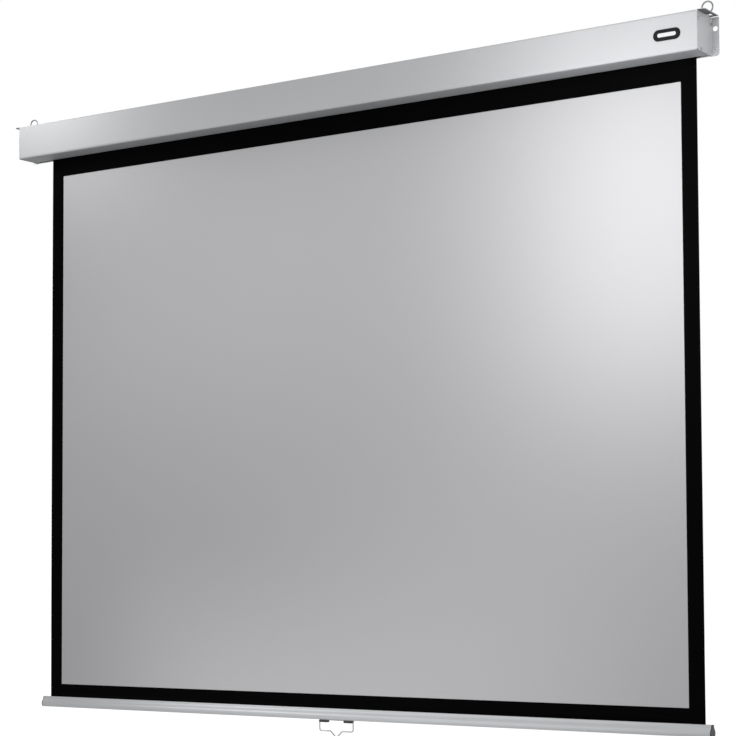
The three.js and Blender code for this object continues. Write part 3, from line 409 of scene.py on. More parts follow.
def add_piece(name: str, mesh: Mesh, body: Body,
              finishes: Sequence[Finish] = (), nodes: Sequence[str] = ()) -> Object:
    """Makes a finished piece of the object.

    Args:
        name: the piece's name.
        mesh: its mesh, already in place.
        body: the CAD body that it rides on.
        finishes: its materials in slot order; empty keeps the mesh's own.
        nodes: the CAD nodes that it stands for.

    Returns:
        The object.
    """
    made = linked(name, mesh)
    for finish in finishes:
        mesh.materials.append(finish.material())
    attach(made, body.value)
    if nodes:
        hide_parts(*nodes)
    log.info("piece %s on %s: %d faces", name, body.value, len(mesh.polygons))
    return made


def pulled(loops: Sequence[Sequence[Point2]], start: float, end: float,
           pull: Pull = Pull.ALONG_X) -> Mesh:
    """Pulls flat outlines into a closed solid. An outline inside another is a hole.

    Args:
        loops: closed outlines in millimetres.
        start: where the solid begins, along X or Y.
        end: where it ends.
        pull: the direction of the pull.

    Returns:
        The mesh, in metres and in place.
    """
    flat = bpy.data.curves.new("outline", "CURVE")
    flat.dimensions = "2D"
    flat.fill_mode = "BOTH"
    flat.extrude = (end - start) / 2
    for loop in loops:
        spline = flat.splines.new("POLY")
        spline.points.add(len(loop) - 1)
        spline.points.foreach_set("co", [c for x, y in loop for c in (x, y, 0.0, 1.0)])
        spline.use_cyclic_u = True
    mesh = finished_mesh(linked("outline", flat))
    middle = (start + end) / 2
    if pull is Pull.ALONG_X:
        turn = Matrix(((0, 0, 1, middle), (1, 0, 0, 0), (0, 1, 0, 0), (0, 0, 0, 1)))
    else:
        turn = Matrix(((1, 0, 0, 0), (0, 0, -1, middle), (0, 1, 0, 0), (0, 0, 0, 1)))
    mesh.transform(Matrix.Scale(MM, 4) @ turn)
    clean(mesh)
    return mesh


def joined(meshes: Iterable[Mesh]) -> Mesh:
    """Puts meshes together. Their faces keep their material numbers.

    Args:
        meshes: the meshes.

    Returns:
        The new mesh.
    """
    work = bmesh.new()
    for mesh in meshes:
        work.from_mesh(mesh)
    whole = bpy.data.meshes.new("joined")
    work.to_mesh(whole)
    work.free()
    return whole


def clean(mesh: Mesh, dissolve: bool = False) -> None:
    """Merges doubled points and turns faces outwards.

    Args:
        mesh: the mesh, changed in place.
        dissolve: whether flat facets are melted together as well.
    """
    work = bmesh.new()
    work.from_mesh(mesh)
    bmesh.ops.remove_doubles(work, verts=work.verts, dist=MERGE_DISTANCE * MM)
    if dissolve:
        bmesh.ops.dissolve_limit(work, angle_limit=math.radians(FLAT_FACET_ANGLE), verts=work.verts,
                                 edges=work.edges)
    bmesh.ops.recalc_face_normals(work, faces=work.faces)
    work.to_mesh(mesh)
    work.free()


def bevelled(mesh: Mesh, width: float, limit: float = BEVEL_ANGLE) -> Mesh:
    """Breaks the edges of a mesh with a small bevel and shades it smooth.

    Args:
        mesh: the mesh.
        width: the bevel's width in millimetres; 0 leaves the edges sharp.
        limit: the angle from which an edge counts, in degrees.

    Returns:
        The bevelled mesh.
    """
    if width > 0:
        mesh = modified(mesh, "BEVEL", width=width * MM, segments=BEVEL_SEGMENTS,
                        limit_method="ANGLE", angle_limit=math.radians(limit))
    smooth_by_angle(mesh)
    return modified(mesh, "WEIGHTED_NORMAL", weight=LARGE_FACE_WEIGHT, keep_sharp=True)


def arc(centre: Point2, radius: float, start: float, end: float, steps: int) -> list[Point2]:
    """Points on a circular arc.

    Args:
        centre: the circle's centre.
        radius: its radius.
        start: the first angle in degrees.
        end: the last angle in degrees.
        steps: the number of chords.

    Returns:
        The points, both ends included.
    """
    angles = [math.radians(start + (end - start) * i / steps) for i in range(steps + 1)]
    return [(centre[0] + radius * math.cos(a), centre[1] + radius * math.sin(a)) for a in angles]


def bezier(points: Sequence[Point2], steps: int) -> list[Point2]:
    """Points on a quadratic or cubic curve.

    Args:
        points: its control points.
        steps: the number of chords.

    Returns:
        The points, without the first.
    """
    line = []
    order = len(points) - 1
    for i in range(1, steps + 1):
        t = i / steps
        weights = [math.comb(order, k) * t ** k * (1 - t) ** (order - k) for k in range(order + 1)]
        line.append((sum(w * x for w, (x, _) in zip(weights, points)),
                     sum(w * y for w, (_, y) in zip(weights, points))))
    return line


def strip(line: Sequence[Point2], thickness: float) -> list[Point2]:
    """The outline of a strip of even thickness along a line.

    Args:
        line: the middle line.
        thickness: the strip's thickness.

    Returns:
        The closed outline, down one side and back up the other.
    """
    sides: list[list[Point2]] = [[], []]
    for i, (x, y) in enumerate(line):
        before, after = line[max(i - 1, 0)], line[min(i + 1, len(line) - 1)]
        inward = Vector((x - before[0], y - before[1]))
        outward = Vector((after[0] - x, after[1] - y))
        inward = (inward if inward.length else outward).normalized()
        outward = (outward if outward.length else inward).normalized()
        along = (inward + outward).normalized()
        spread = thickness / 2 / max(along.dot(inward), LEAST_MITRE_COSINE)
        sides[0].append((x - along.y * spread, y + along.x * spread))
        sides[1].append((x + along.y * spread, y - along.x * spread))
    return sides[0] + sides[1][::-1]


class MeshTree:
    """A geometry node tree that makes a shape from a mesh, some numbers and a finish."""

    def __init__(self, name: str, numbers: dict[str, str]) -> None:
        """Makes the tree with its inputs and its output.

        Args:
            name: the tree's name.
            numbers: its number inputs, with the kind of each.
        """
        self.tree = bpy.data.node_groups.new(name, "GeometryNodeTree")
        face = self.tree.interface
        kinds = {"Mesh": "Geometry", **numbers, "Finish": "Material"}
        sockets = [face.new_socket(name=label, in_out="INPUT", socket_type=f"NodeSocket{kind}")
                   for label, kind in kinds.items()]
        face.new_socket(name="Shape", in_out="OUTPUT", socket_type="NodeSocketGeometry")
        self.inputs = [socket.identifier for socket in sockets[1:]]
        self.given = add_node(self.tree, "NodeGroupInput").outputs

    def hand_out(self, shape: NodeSocket) -> None:
        """Makes one mesh of the shape, gives it the finish and ends the tree.

        Args:
            shape: the socket that holds it.
        """
        whole = add_node(self.tree, "GeometryNodeRealizeInstances", {"Geometry": shape})
        dressed = add_node(self.tree, "GeometryNodeSetMaterial", {
            "Geometry": whole, "Material": self.given["Finish"]})
        add_node(self.tree, "NodeGroupOutput", {"Shape": dressed})

    def run(self, mesh: Mesh, numbers: Iterable[float], finish: Finish,
            smooth_angle: float) -> Mesh:
        """Runs the tree on a mesh.

        Args:
            mesh: the mesh that it starts from.
            numbers: the values of its number inputs.
            finish: the finish.
            smooth_angle: edges sharper than this stay sharp, in degrees.

        Returns:
            The shape as a plain mesh in metres.
        """
        inputs = zip(self.inputs, (*numbers, finish.material()))
        made = modified(mesh, "NODES", inputs, node_group=self.tree)
        clean(made)
        smooth_by_angle(made, smooth_angle)
        return made


class WireTree(MeshTree):
    """Sweeps a round wire along the edges that it is given."""

    def __init__(self) -> None:
        """Builds the tree."""
        super().__init__("round_wire", {"Wire radius": "Float", "Sides": "Int"})
        tree, given = self.tree, self.given
        line = add_node(tree, "GeometryNodeMeshToCurve", {"Mesh": given["Mesh"]})
        section = add_node(tree, "GeometryNodeCurvePrimitiveCircle", {
            "Resolution": given["Sides"], "Radius": given["Wire radius"]})
        swept = add_node(tree, "GeometryNodeCurveToMesh", {
            "Curve": line, "Profile Curve": section, "Fill Caps": True})
        smooth = add_node(tree, "GeometryNodeSetShadeSmooth", {"Geometry": swept})
        self.hand_out(smooth.outputs[0])

    def wire(self, path: Sequence[Point3], radius: float, finish: Finish, sides: int = 16,
             closed: bool = False) -> Mesh:
        """Sweeps one wire.

        Args:
            path: the wire's middle line.
            radius: the wire's radius.
            finish: its finish.
            sides: the facets round the wire.
            closed: whether the ends meet.

        Returns:
            The wire as a plain mesh in metres.
        """
        mesh = bpy.data.meshes.new("path")
        edges = [(i, i + 1) for i in range(len(path) - 1)]
        if closed:
            edges.append((len(path) - 1, 0))
        mesh.from_pydata([Vector(p) * MM for p in path], edges, [])
        return self.run(mesh, (radius * MM, sides), finish, WIRE_SMOOTH_ANGLE)


@dataclass(frozen=True)
class ScrewSize:
    """The sizes of a slotted pan head screw, in the order of the tree's inputs."""

    head_radius: float
    head_height: float
    shank_radius: float
    shank_length: float
    slot_width: float


class ScrewTree(MeshTree):
    """Sets a slotted pan head screw on each seat point."""

    sizes = "Head radius", "Head height", "Shank radius", "Shank length", "Slot width"
    head_sides = 28
    shank_sides = 20
    crown_share = 0.72
    slot_reach = 2.4

    def __init__(self) -> None:
        """Builds the tree."""
        super().__init__("slotted_screws", dict.fromkeys(self.sizes, "Float"))
        tree, given = self.tree, self.given
        shares = (("Head radius", self.crown_share), ("Head height", 0.5), ("Head height", 0.25),
                  ("Head radius", self.slot_reach), ("Shank length", -0.5))
        crown_radius, half_height, quarter_height, slot_length, half_drop = [
            add_node(tree, "ShaderNodeMath", {0: given[name], 1: share},
                     operation="MULTIPLY").outputs[0] for name, share in shares]
        crown = add_node(tree, "GeometryNodeMeshCone", {
            "Vertices": self.head_sides, "Radius Top": crown_radius,
            "Radius Bottom": given["Head radius"], "Depth": half_height})
        slot_size = add_node(tree, "ShaderNodeCombineXYZ", {
            "X": slot_length, "Y": given["Slot width"], "Z": given["Head height"]})
        slot = add_node(tree, "GeometryNodeMeshCube", {"Size": slot_size})
        base = add_node(tree, "GeometryNodeMeshCylinder", {
            "Vertices": self.head_sides, "Radius": given["Head radius"], "Depth": half_height})
        shank = add_node(tree, "GeometryNodeMeshCylinder", {
            "Vertices": self.shank_sides, "Radius": given["Shank radius"],
            "Depth": given["Shank length"]})
        placed = []
        for part, height in ((crown, half_height), (slot, given["Head height"]),
                             (base, quarter_height), (shank, half_drop)):
            lift = add_node(tree, "ShaderNodeCombineXYZ", {"Z": height})
            placed.append(add_node(tree, "GeometryNodeTransform", {
                "Geometry": part.outputs[0], "Translation": lift}).outputs[0])
        crown_set, slot_set, base_set, shank_set = placed
        slotted = add_node(tree, "GeometryNodeMeshBoolean", {
            "Mesh 1": crown_set, "Mesh 2": slot_set}, operation="DIFFERENCE", solver="EXACT")
        screw = add_node(tree, "GeometryNodeJoinGeometry")
        for part in (slotted.outputs[0], base_set, shank_set):
            tree.links.new(part, screw.inputs[0])
        axis = add_node(tree, "GeometryNodeInputNamedAttribute", {"Name": "seat_axis"},
                        data_type="FLOAT_VECTOR")
        turn = add_node(tree, "FunctionNodeAlignRotationToVector", {"Vector": axis}, axis="Z")
        copies = add_node(tree, "GeometryNodeInstanceOnPoints", {
            "Points": given["Mesh"], "Instance": screw, "Rotation": turn})
        self.hand_out(copies.outputs[0])

    def screws(self, seats: Sequence[tuple[Point3, Point3]], size: ScrewSize) -> Mesh:
        """Sets zinc plated screws on their seats.

        Args:
            seats: each seat's place and the way its head points.
            size: the screws' sizes.

        Returns:
            All the screws as one plain mesh in metres.
        """
        mesh = bpy.data.meshes.new("seats")
        mesh.from_pydata([Vector(place) * MM for place, _ in seats], [], [])
        axes = mesh.attributes.new("seat_axis", "FLOAT_VECTOR", "POINT")
        axes.data.foreach_set("vector", [c for _, axis in seats for c in axis])
        return self.run(mesh, [part * MM for part in astuple(size)], ZINC_PLATE, SMOOTH_ANGLE)


@dataclass
class Dressing:
    """CAD nodes that keep their shape: each gets broken edges, smooth shading and a finish, and,
    where a second finish is given, painted shade on its downward faces.
    """

    body: Body
    slot: Slot
    finish: Finish
    nodes: tuple[str, ...]
    edge: float = 0.0
    # A darker finish painted on the downward faces as shade, or none.
    underside_shade: Finish | None = None

    def build(self) -> None:
        """Makes one dressed copy for each node."""
        finishes = [finish for finish in (self.finish, self.underside_shade) if finish]
        for node in self.nodes:
            mesh = frame["nodes"][node].data.copy()
            mesh.materials.clear()
            clean(mesh, dissolve=True)
            mesh = bevelled(mesh, self.edge)
            # Downward faces get the painted shade finish where one is given.
            for face in mesh.polygons:
                face.material_index = len(finishes) - 1 if face.normal.z < FACES_DOWN else 0
            add_piece(f"{node}_shown", mesh, self.body, finishes, (node,))


@dataclass
class Casing:
    """The long C-shaped profile, its screw ports, the name plate and the bracket screws."""

    shell: Span = box_of("casing_shell")
    plate: Span = box_of("name_plate")
    wall: float = 1.6
    front_radius: float = 6.0
    rear_radius: float = 2.6
    slot_front_gap: float = 3.0
    lip_height: float = 7.0
    rear_lip: float = 4.0
    port_radius: float = 4.2
    port_bore: float = 2.25
    port_slit_degrees: float = 22.0
    port_mouths: tuple[float, ...] = (0.0, 180.0, 90.0)
    port_steps: int = 20
    nose_steps: int = 10
    rear_steps: int = 6
    shell_edge: float = 0.35
    plate_corner: float = 13.5
    plate_corner_steps: int = 12
    plate_rim_ends: float = 11.5
    plate_rim_sides: float = 9.3
    rim_edge: float = 0.3
    field_edge: float = 0.15
    field_rise: float = 0.5
    screw: ScrewSize = ScrewSize(3.7, 2.3, 1.9, 16.0, 0.9)

    def middle_line(self) -> list[Point2]:
        """The middle line of the bent wall, from the lip round the front to the rear lip.

        Returns:
            The line in Y and Z.
        """
        half = self.wall / 2
        front, back = self.shell.low.y + half, self.shell.high.y - half
        top, bottom = self.shell.high.z - half, self.shell.low.z + half
        rear, nose = self.rear_radius, self.front_radius
        lip = FABRIC_Y - self.slot_front_gap - half
        return [
            (lip, bottom + self.lip_height),
            *arc((lip - rear, bottom + rear), rear, 0, -90, self.rear_steps),
            *arc((front + nose, bottom + nose), nose, 270, 180, self.nose_steps),
            *arc((front + nose, top - nose), nose, 180, 90, self.nose_steps),
            *arc((back - rear, top - rear), rear, 90, 0, self.rear_steps),
            *arc((back - rear, bottom + rear), rear, 0, -90, self.rear_steps),
            (back - self.rear_lip, bottom),
        ]

    def screw_nodes(self, side: str) -> list[str]:
        """Returns the names of the three screws on one side."""
        return [f"bracket_screw_{side}_{i}" for i in (1, 2, 3)]

    def build_shell(self) -> None:
        """Builds the wall and its ports as one piece, with painted shade, a duller darker grey, on
        its downward faces.
        """
        start, end = self.shell.low.x, self.shell.high.x
        parts = [pulled([strip(self.middle_line(), self.wall)], start, end)]
        middle, wall = (self.port_radius + self.port_bore) / 2, self.port_radius - self.port_bore
        for node, mouth in zip(self.screw_nodes("right"), self.port_mouths):
            centre = Span.of(node).middle
            line = arc((centre.y, centre.z), middle, mouth + self.port_slit_degrees,
                       mouth + 360 - self.port_slit_degrees, self.port_steps)
            parts.append(pulled([strip(line, wall)], start, end))
        shell = bevelled(joined(parts), self.shell_edge, PROFILE_BEVEL_ANGLE)
        # The downward faces at the profile's foot get the painted shade finish.
        bottom = (self.shell.low.z + self.wall) * MM
        for face in shell.polygons:
            face.material_index = int(face.normal.z < FACES_DOWN and face.center.z < bottom)
        add_piece("casing_profile", shell, Body.CASING,
                  (SILVER_COATED_ALUMINIUM, UNDERSIDE_PAINTED_SHADE), ("casing_shell",))

    def plate_outline(self, ends: float, sides: float) -> list[Point2]:
        """The name plate's outline with round corners, drawn in from its edges.

        Args:
            ends: how far its ends are drawn in.
            sides: how far its long sides are drawn in, and its corners tightened.

        Returns:
            The closed outline.
        """
        low, high, radius = self.plate.low, self.plate.high, self.plate_corner - sides
        left, right = low.x + ends + radius, high.x - ends - radius
        bottom, top = low.z + sides + radius, high.z - sides - radius
        centres = (((right, bottom), -90), ((right, top), 0), ((left, top), 90),
                   ((left, bottom), 180))
        return [point for centre, start in centres
                for point in arc(centre, radius, start, start + 90, self.plate_corner_steps)]

    def build_name_plate(self) -> None:
        """Builds the blank plate: a dark enamelled rim round a bright bare field."""
        back, front = self.plate.high.y, self.plate.low.y
        rim_outline = self.plate_outline(0.0, 0.0)
        field_outline = self.plate_outline(self.plate_rim_ends, self.plate_rim_sides)
        rim = pulled([rim_outline], front + self.field_rise, back, Pull.TO_FRONT)
        panel = bevelled(pulled([field_outline], front, back, Pull.TO_FRONT), self.field_edge)
        for face in panel.polygons:
            face.material_index = 1
        plate = joined((bevelled(rim, self.rim_edge), panel))
        smooth_by_angle(plate)
        add_piece("name_plate_blank", plate, Body.CASING, (DARK_ENAMEL, BARE_FIELD),
                  ("name_plate",))

    def build_screws(self, tree: ScrewTree) -> None:
        """Sets the three screws in each end bracket.

        Args:
            tree: the tree that makes them.
        """
        for side, sign in (("left", -1.0), ("right", 1.0)):
            nodes = self.screw_nodes(side)
            spans = [Span.of(node) for node in nodes]
            reach = spans[0].half.x - self.screw.head_height
            seats = [((span.middle.x + sign * reach, *span.middle.yz), (sign, 0.0, 0.0))
                     for span in spans]
            add_piece(f"bracket_screws_{side}", tree.screws(seats, self.screw), Body.CASING,
                      nodes=nodes)


@dataclass
class HangingRings:
    """The closed rings in the ears of the end brackets."""

    steps: int = 72

    def build(self, tree: WireTree) -> None:
        """Builds both rings.

        Args:
            tree: the tree that makes them.
        """
        for side, body in (("left", Body.RING_LEFT), ("right", Body.RING_RIGHT)):
            node = f"hanging_ring_{side}"
            span = Span.of(node)
            middle, wire_radius = span.middle, span.half.y
            radius = span.half.x - wire_radius
            turns = [2 * math.pi * i / self.steps for i in range(self.steps)]
            path = [(middle.x + radius * math.cos(a), middle.y, middle.z + radius * math.sin(a))
                    for a in turns]
            mesh = tree.wire(path, wire_radius, DRAWN_WIRE, closed=True)
            add_piece(f"ring_{side}", mesh, body, nodes=(node,))


@dataclass
class Fabric:
    """The hanging sheet, its hem round the rod, and the turns left on the roller."""

    sheet: Span = box_of("screen_fabric")
    bar: Span = box_of("weight_bar")
    axis: Vector = pivot_of("roller_turn")
    hem_radius: float = 3.35
    hem_outer_radius: float = 3.6
    hem_degrees: Point2 = (92.0, 448.0)
    hem_steps: int = 40
    hem_lap: float = 2.5
    hem_lap_offset: float = 0.05
    seam_height: float = 9.5
    seam_offset: float = 0.68
    seam_thickness: float = 0.3
    seam_overlap: float = 2.0
    columns: int = 48
    rows: int = 60
    drop_shares: tuple[float, ...] = (0.2, 0.6)
    ripple: float = 0.5
    edge_curl: float = 1.2
    edge_curl_width: float = 18.0
    wave_across: float = 260.0
    wave_down: float = 420.0
    wave_start: Point2 = (1.1, 0.4)
    belly_power: float = 0.7
    wound_pitch: float = 0.95
    wound_turns: float = 3.25
    tail_radius: float = 17.9
    steps_per_turn: int = 72

    @property
    def hem_z(self) -> float:
        """The height of the hem rod's middle."""
        return self.sheet.low.z + self.hem_outer_radius

    @property
    def bottom(self) -> float:
        """The sheet's lower end, at the top of its hem."""
        return self.hem_z + self.hem_radius

    @property
    def picture(self) -> tuple[float, float, float, float]:
        """The picture's left, right, lower and upper edge."""
        left, right = self.sheet.low.x + SIDE_BORDER, self.sheet.high.x - SIDE_BORDER
        low = self.bar.high.z + BOTTOM_BORDER
        return left, right, low, low + PICTURE_HEIGHT

    def lean(self, x: float, z: float) -> float:
        """How far the hanging sheet leaves its plane: slow waves, and a slight curl at its sides.

        Args:
            x: the place along the casing.
            z: the height. Both ends of the sheet are held, so it keeps its plane there.

        Returns:
            The distance in millimetres, away from the wall where it is negative.
        """
        top = self.sheet.high.z
        down = (top - z) / (top - self.bottom)
        free = math.sin(math.pi * down) ** self.belly_power if 0 < down < 1 else 0.0
        wave = (math.sin(x / self.wave_across + self.wave_start[0])
                * math.sin(z / self.wave_down + self.wave_start[1]))
        edge = min(x - self.sheet.low.x, self.sheet.high.x - x)
        return free * (self.ripple * wave - self.edge_curl * math.exp(-edge / self.edge_curl_width))

    def run_along(self, line: Sequence[Point2]) -> Mesh:
        """Makes fabric of full width that runs along a line.

        Args:
            line: its section in Y and Z.

        Returns:
            The mesh.
        """
        mesh = pulled([strip(line, FABRIC_THICKNESS)], self.sheet.low.x, self.sheet.high.x)
        smooth_by_angle(mesh)
        return mesh

    def build_sheet(self) -> Object:
        """Builds the sheet as a grid whose lines run along the edges of the picture.

        Returns:
            The sheet.
        """
        left, right, low, high = self.picture
        start, end, top = self.sheet.low.x, self.sheet.high.x, self.sheet.high.z
        inner = [left + (right - left) * i / self.columns for i in range(self.columns + 1)]
        across = [start, (start + left) / 2, *inner, (end + right) / 2, end]
        field_rows = [high + (low - high) * i / self.rows for i in range(self.rows + 1)]
        down = [top, *(high * share for share in self.drop_shares), *field_rows, self.bottom]
        work = bmesh.new()
        grid = [[work.verts.new((x * MM, (FABRIC_Y + self.lean(x, z)) * MM, z * MM))
                 for x in across] for z in down]
        for r, (upper, lower) in enumerate(zip(grid, grid[1:])):
            for c in range(len(across) - 1):
                face = work.faces.new((upper[c], lower[c], lower[c + 1], upper[c + 1]))
                middle_x, middle_z = (across[c] + across[c + 1]) / 2, (down[r] + down[r + 1]) / 2
                shown = left < middle_x < right and low < middle_z < high
                face.material_index = 0 if shown else 1
        mesh = bpy.data.meshes.new("sheet")
        work.to_mesh(mesh)
        work.free()
        # The picture and its border in front, and the backing behind each of them.
        for finish in (GREY_PROJECTION_COAT, BLACK_MASK_INK, BLACK_BACKING, BLACK_BACKING):
            mesh.materials.append(finish.material())
        mesh = modified(mesh, "SOLIDIFY", thickness=FABRIC_THICKNESS * MM, offset=0.0,
                        material_offset=2, material_offset_rim=1)
        smooth_by_angle(mesh, SOFT_SMOOTH_ANGLE)
        made = add_piece("projection_sheet", mesh, Body.CASING,
                         nodes=("screen_fabric",))
        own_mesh(made)
        return made

    def build_hem(self) -> Object:
        """Builds the pocket that the hem rod lies in.

        Returns:
            The hem.
        """
        line = [(FABRIC_Y - self.hem_lap_offset, self.bottom + self.hem_lap),
                *arc((FABRIC_Y, self.hem_z), self.hem_radius, *self.hem_degrees, self.hem_steps)]
        return add_piece("hem_pocket", self.run_along(line), Body.BAR,
                         (BLACK_BACKING,))

    def build_seam(self) -> Object:
        """Builds the welded seam above the pocket.

        It reaches into the casing's slot when the screen is up, so that the gap above the bar
        shows the black border there, as on the real screen, and not the picture.

        Returns:
            The seam.
        """
        y, top = FABRIC_Y - self.seam_offset, self.bar.high.z + self.seam_height
        left, right = self.picture[0] - self.seam_overlap, self.picture[1] + self.seam_overlap
        mesh = pulled([strip([(y, self.bottom), (y, top)], self.seam_thickness)], left, right)
        return add_piece("hem_seam", mesh, Body.BAR, (BLACK_MASK_INK,))

    def build_wound(self) -> None:
        """Builds the spiral of fabric that stays on the roller, with its tail in the groove."""
        outer = FABRIC_Y - self.axis.y
        count = round(self.wound_turns * self.steps_per_turn)
        places = [(outer - self.wound_pitch * i / self.steps_per_turn,
                   2 * math.pi * i / self.steps_per_turn) for i in range(count + 1)]
        places.append((self.tail_radius, 2 * math.pi * self.wound_turns))
        line = [(self.axis.y + radius * math.cos(angle), self.axis.z + radius * math.sin(angle))
                for radius, angle in places]
        made = add_piece("wound_turns", self.run_along(line), Body.ROLLER,
                         (BLACK_BACKING,), ("wound_fabric",))

    def build(self) -> None:
        sheet = self.build_sheet()
        hem = [self.build_hem(), self.build_seam()]
        self.build_wound()


@dataclass
class WeightBar:
    """The drop-shaped hollow bar at the foot of the sheet."""

    bar: Span = box_of("weight_bar")
    wall: float = 1.6
    top_width: float = 8.0
    foot_width: float = 14.0
    shoulder_share: float = 0.1
    wide_share: float = 0.66
    shoulder_steps: int = 8
    flank_steps: int = 16
    channel_radius: float = 4.5
    channel_drop: float = 7.6
    channel_steps: int = 28
    slot: float = 2.2
    edge: float = 0.2

    def side(self, sign: int, inset: float) -> list[Point2]:
        """One flank of the outline, from the top edge down to the foot.

        Args:
            sign: -1 for the front flank, 1 for the rear one.
            inset: how far inside the outer surface the line lies.

        Returns:
            The flank's points.
        """
        top, height = self.bar.high.z, 2 * self.bar.half.z
        half, upper = self.bar.half.y - inset, self.top_width / 2 - inset
        foot, high, low = self.foot_width / 2 - inset / 2, top - inset, top - height + inset
        wide = top - height * self.wide_share
        shoulder = top - height * self.shoulder_share - inset
        mid, out, turn = (shoulder + wide) / 2, upper + self.wall, (half + foot) / 2
        curves = (
            (((upper, high), (out, high), (out, shoulder)), self.shoulder_steps),
            (((out, shoulder), (out, mid), (half, mid), (half, wide)), self.flank_steps),
            (((half, wide), (half, (wide + low) / 2), (turn, low), (foot, low)), self.flank_steps))
        line = [point for curve, steps in curves for point in bezier(curve, steps)]
        return [(FABRIC_Y + sign * distance, z) for distance, z in ((upper, high), *line)]

    def build(self) -> None:
        """Builds the profile: its outer skin, the hem channel and the hollow below it."""
        front, rear = self.side(-1, 0.0), self.side(1, 0.0)
        top = self.bar.high.z
        channel_z, half_slot = top - self.channel_drop, self.slot / 2
        mouth = math.degrees(math.asin(half_slot / self.channel_radius))
        channel = arc((FABRIC_Y, channel_z), self.channel_radius, 90 + mouth, 450 - mouth,
                      self.channel_steps)
        outline = [*front, *rear[::-1], (FABRIC_Y + half_slot, top), *channel[::-1],
                   (FABRIC_Y - half_slot, top)]
        ceiling = channel_z - self.channel_radius - self.wall
        inner_front, inner_rear = [[point for point in self.side(sign, self.wall)
                                    if point[1] < ceiling] for sign in (-1, 1)]
        hollow = [(inner_front[0][0], ceiling), *inner_front, *inner_rear[::-1],
                  (inner_rear[0][0], ceiling)]
        solid = pulled([outline, hollow], self.bar.low.x, self.bar.high.x)
        add_piece("bar_profile", bevelled(solid, self.edge, PROFILE_BEVEL_ANGLE), Body.BAR,
                  (ANODISED_ALUMINIUM,), ("weight_bar",))


@dataclass
class PullHandle:
    """The wire bail and its screws."""

    wire: Span = box_of("pull_handle")
    pivot: Vector = pivot_of("handle_swing")
    screw: Span = box_of("handle_screw_right")
    wire_radius: float = 1.8
    hook_length: float = 9.4
    hook_bend: float = 2.4
    leg: float = 25.5
    bend: float = 6.0
    shoulder_x: float = 19.0
    nose_drop: float = 17.0
    nose_bend: float = 3.5
    bend_step_degrees: float = 9.0
    least_bend_steps: int = 3
    screw_size: ScrewSize = ScrewSize(3.2, 1.8, 1.7, 10.0, 0.9)

    def path(self) -> list[Point3]:
        """The wire's middle line, with a round arc at each corner.

        Returns:
            Its points, from the right hook to the left one.
        """
        top, plane, half_width = self.pivot.z, self.pivot.y, self.wire.half.x - self.wire_radius
        shoulder = top - self.leg
        right = [(half_width - self.hook_length, top, 0.0), (half_width, top, self.hook_bend),
                 (half_width, shoulder, self.bend), (self.shoulder_x, shoulder, self.bend)]
        left = [(-x, z, bend) for x, z, bend in reversed(right)]
        corners = [*right, (0.0, shoulder - self.nose_drop, self.nose_bend), *left]
        line: list[Point3] = []
        for i, (x, z, bend) in enumerate(corners):
            if not bend:
                line.append((x, plane, z))
                continue
            before, here, after = [Vector(corner[:2]) for corner in corners[i - 1:i + 2]]
            into, out = (here - before).normalized(), (after - here).normalized()
            turn, side = into.angle(out), math.copysign(1.0, into.cross(out))
            first = here - into * (bend * math.tan(turn / 2))
            centre = first + Vector((-into.y, into.x)) * side * bend
            steps = max(self.least_bend_steps,
                        math.ceil(turn / math.radians(self.bend_step_degrees)))
            for k in range(steps + 1):
                point = centre + Matrix.Rotation(side * turn * k / steps, 2) @ (first - centre)
                line.append((point.x, plane, point.y))
        return line

    def build(self, wires: WireTree, screws: ScrewTree) -> None:
        """Builds the bail and the two clip screws.

        Args:
            wires: the tree that makes the bail.
            screws: the tree that makes the screws.
        """
        mesh = wires.wire(self.path(), self.wire_radius, BAIL_WIRE)
        add_piece("bail_wire", mesh, Body.HANDLE, nodes=("pull_handle",))
        x, y, z = *self.screw.middle.xy, self.screw.low.z + self.screw_size.head_height
        seats = [((sign * x, y, z), (0.0, 0.0, -1.0)) for sign in (-1, 1)]
        add_piece("handle_screws", screws.screws(seats, self.screw_size), Body.BAR,
                  nodes=("handle_screw_left", "handle_screw_right"))


@dataclass
class TorsionSpring:
    """The spring that winds the screen up: close turns at its ends, open turns between."""

    spring: Span = box_of("torsion_spring")
    axis: Vector = pivot_of("roller_turn")
    mean_radius: float = 9.4
    wire_radius: float = 1.1
    turns: float = 40.0
    end_turns: float = 5.0
    end_pitch: float = 3.4
    steps: int = 24
    sides: int = 10

    def place(self, turn: float) -> float:
        """How far the wire has come after some turns.

        Args:
            turn: the turns from its left end.

        Returns:
            The place along X.
        """
        middle_turns = self.turns - 2 * self.end_turns
        length = 2 * (self.spring.half.x - self.wire_radius)
        pitch = (length - 2 * self.end_turns * self.end_pitch) / middle_turns
        first = min(turn, self.end_turns)
        middle = min(max(turn - self.end_turns, 0.0), middle_turns)
        last = max(turn - self.end_turns - middle_turns, 0.0)
        start = self.spring.low.x + self.wire_radius
        return start + (first + last) * self.end_pitch + middle * pitch

    def build(self, tree: WireTree) -> None:
        """Builds the spring as one wire.

        Args:
            tree: the tree that makes it.
        """
        path = []
        for i in range(int(self.turns * self.steps) + 1):
            angle = 2 * math.pi * i / self.steps
            path.append((self.place(i / self.steps),
                         self.axis.y + self.mean_radius * math.cos(angle),
                         self.axis.z + self.mean_radius * math.sin(angle)))
        mesh = tree.wire(path, self.wire_radius, OILED_SPRING_STEEL, self.sides)
        add_piece("spring_wire", mesh, Body.CASING, nodes=("torsion_spring",))


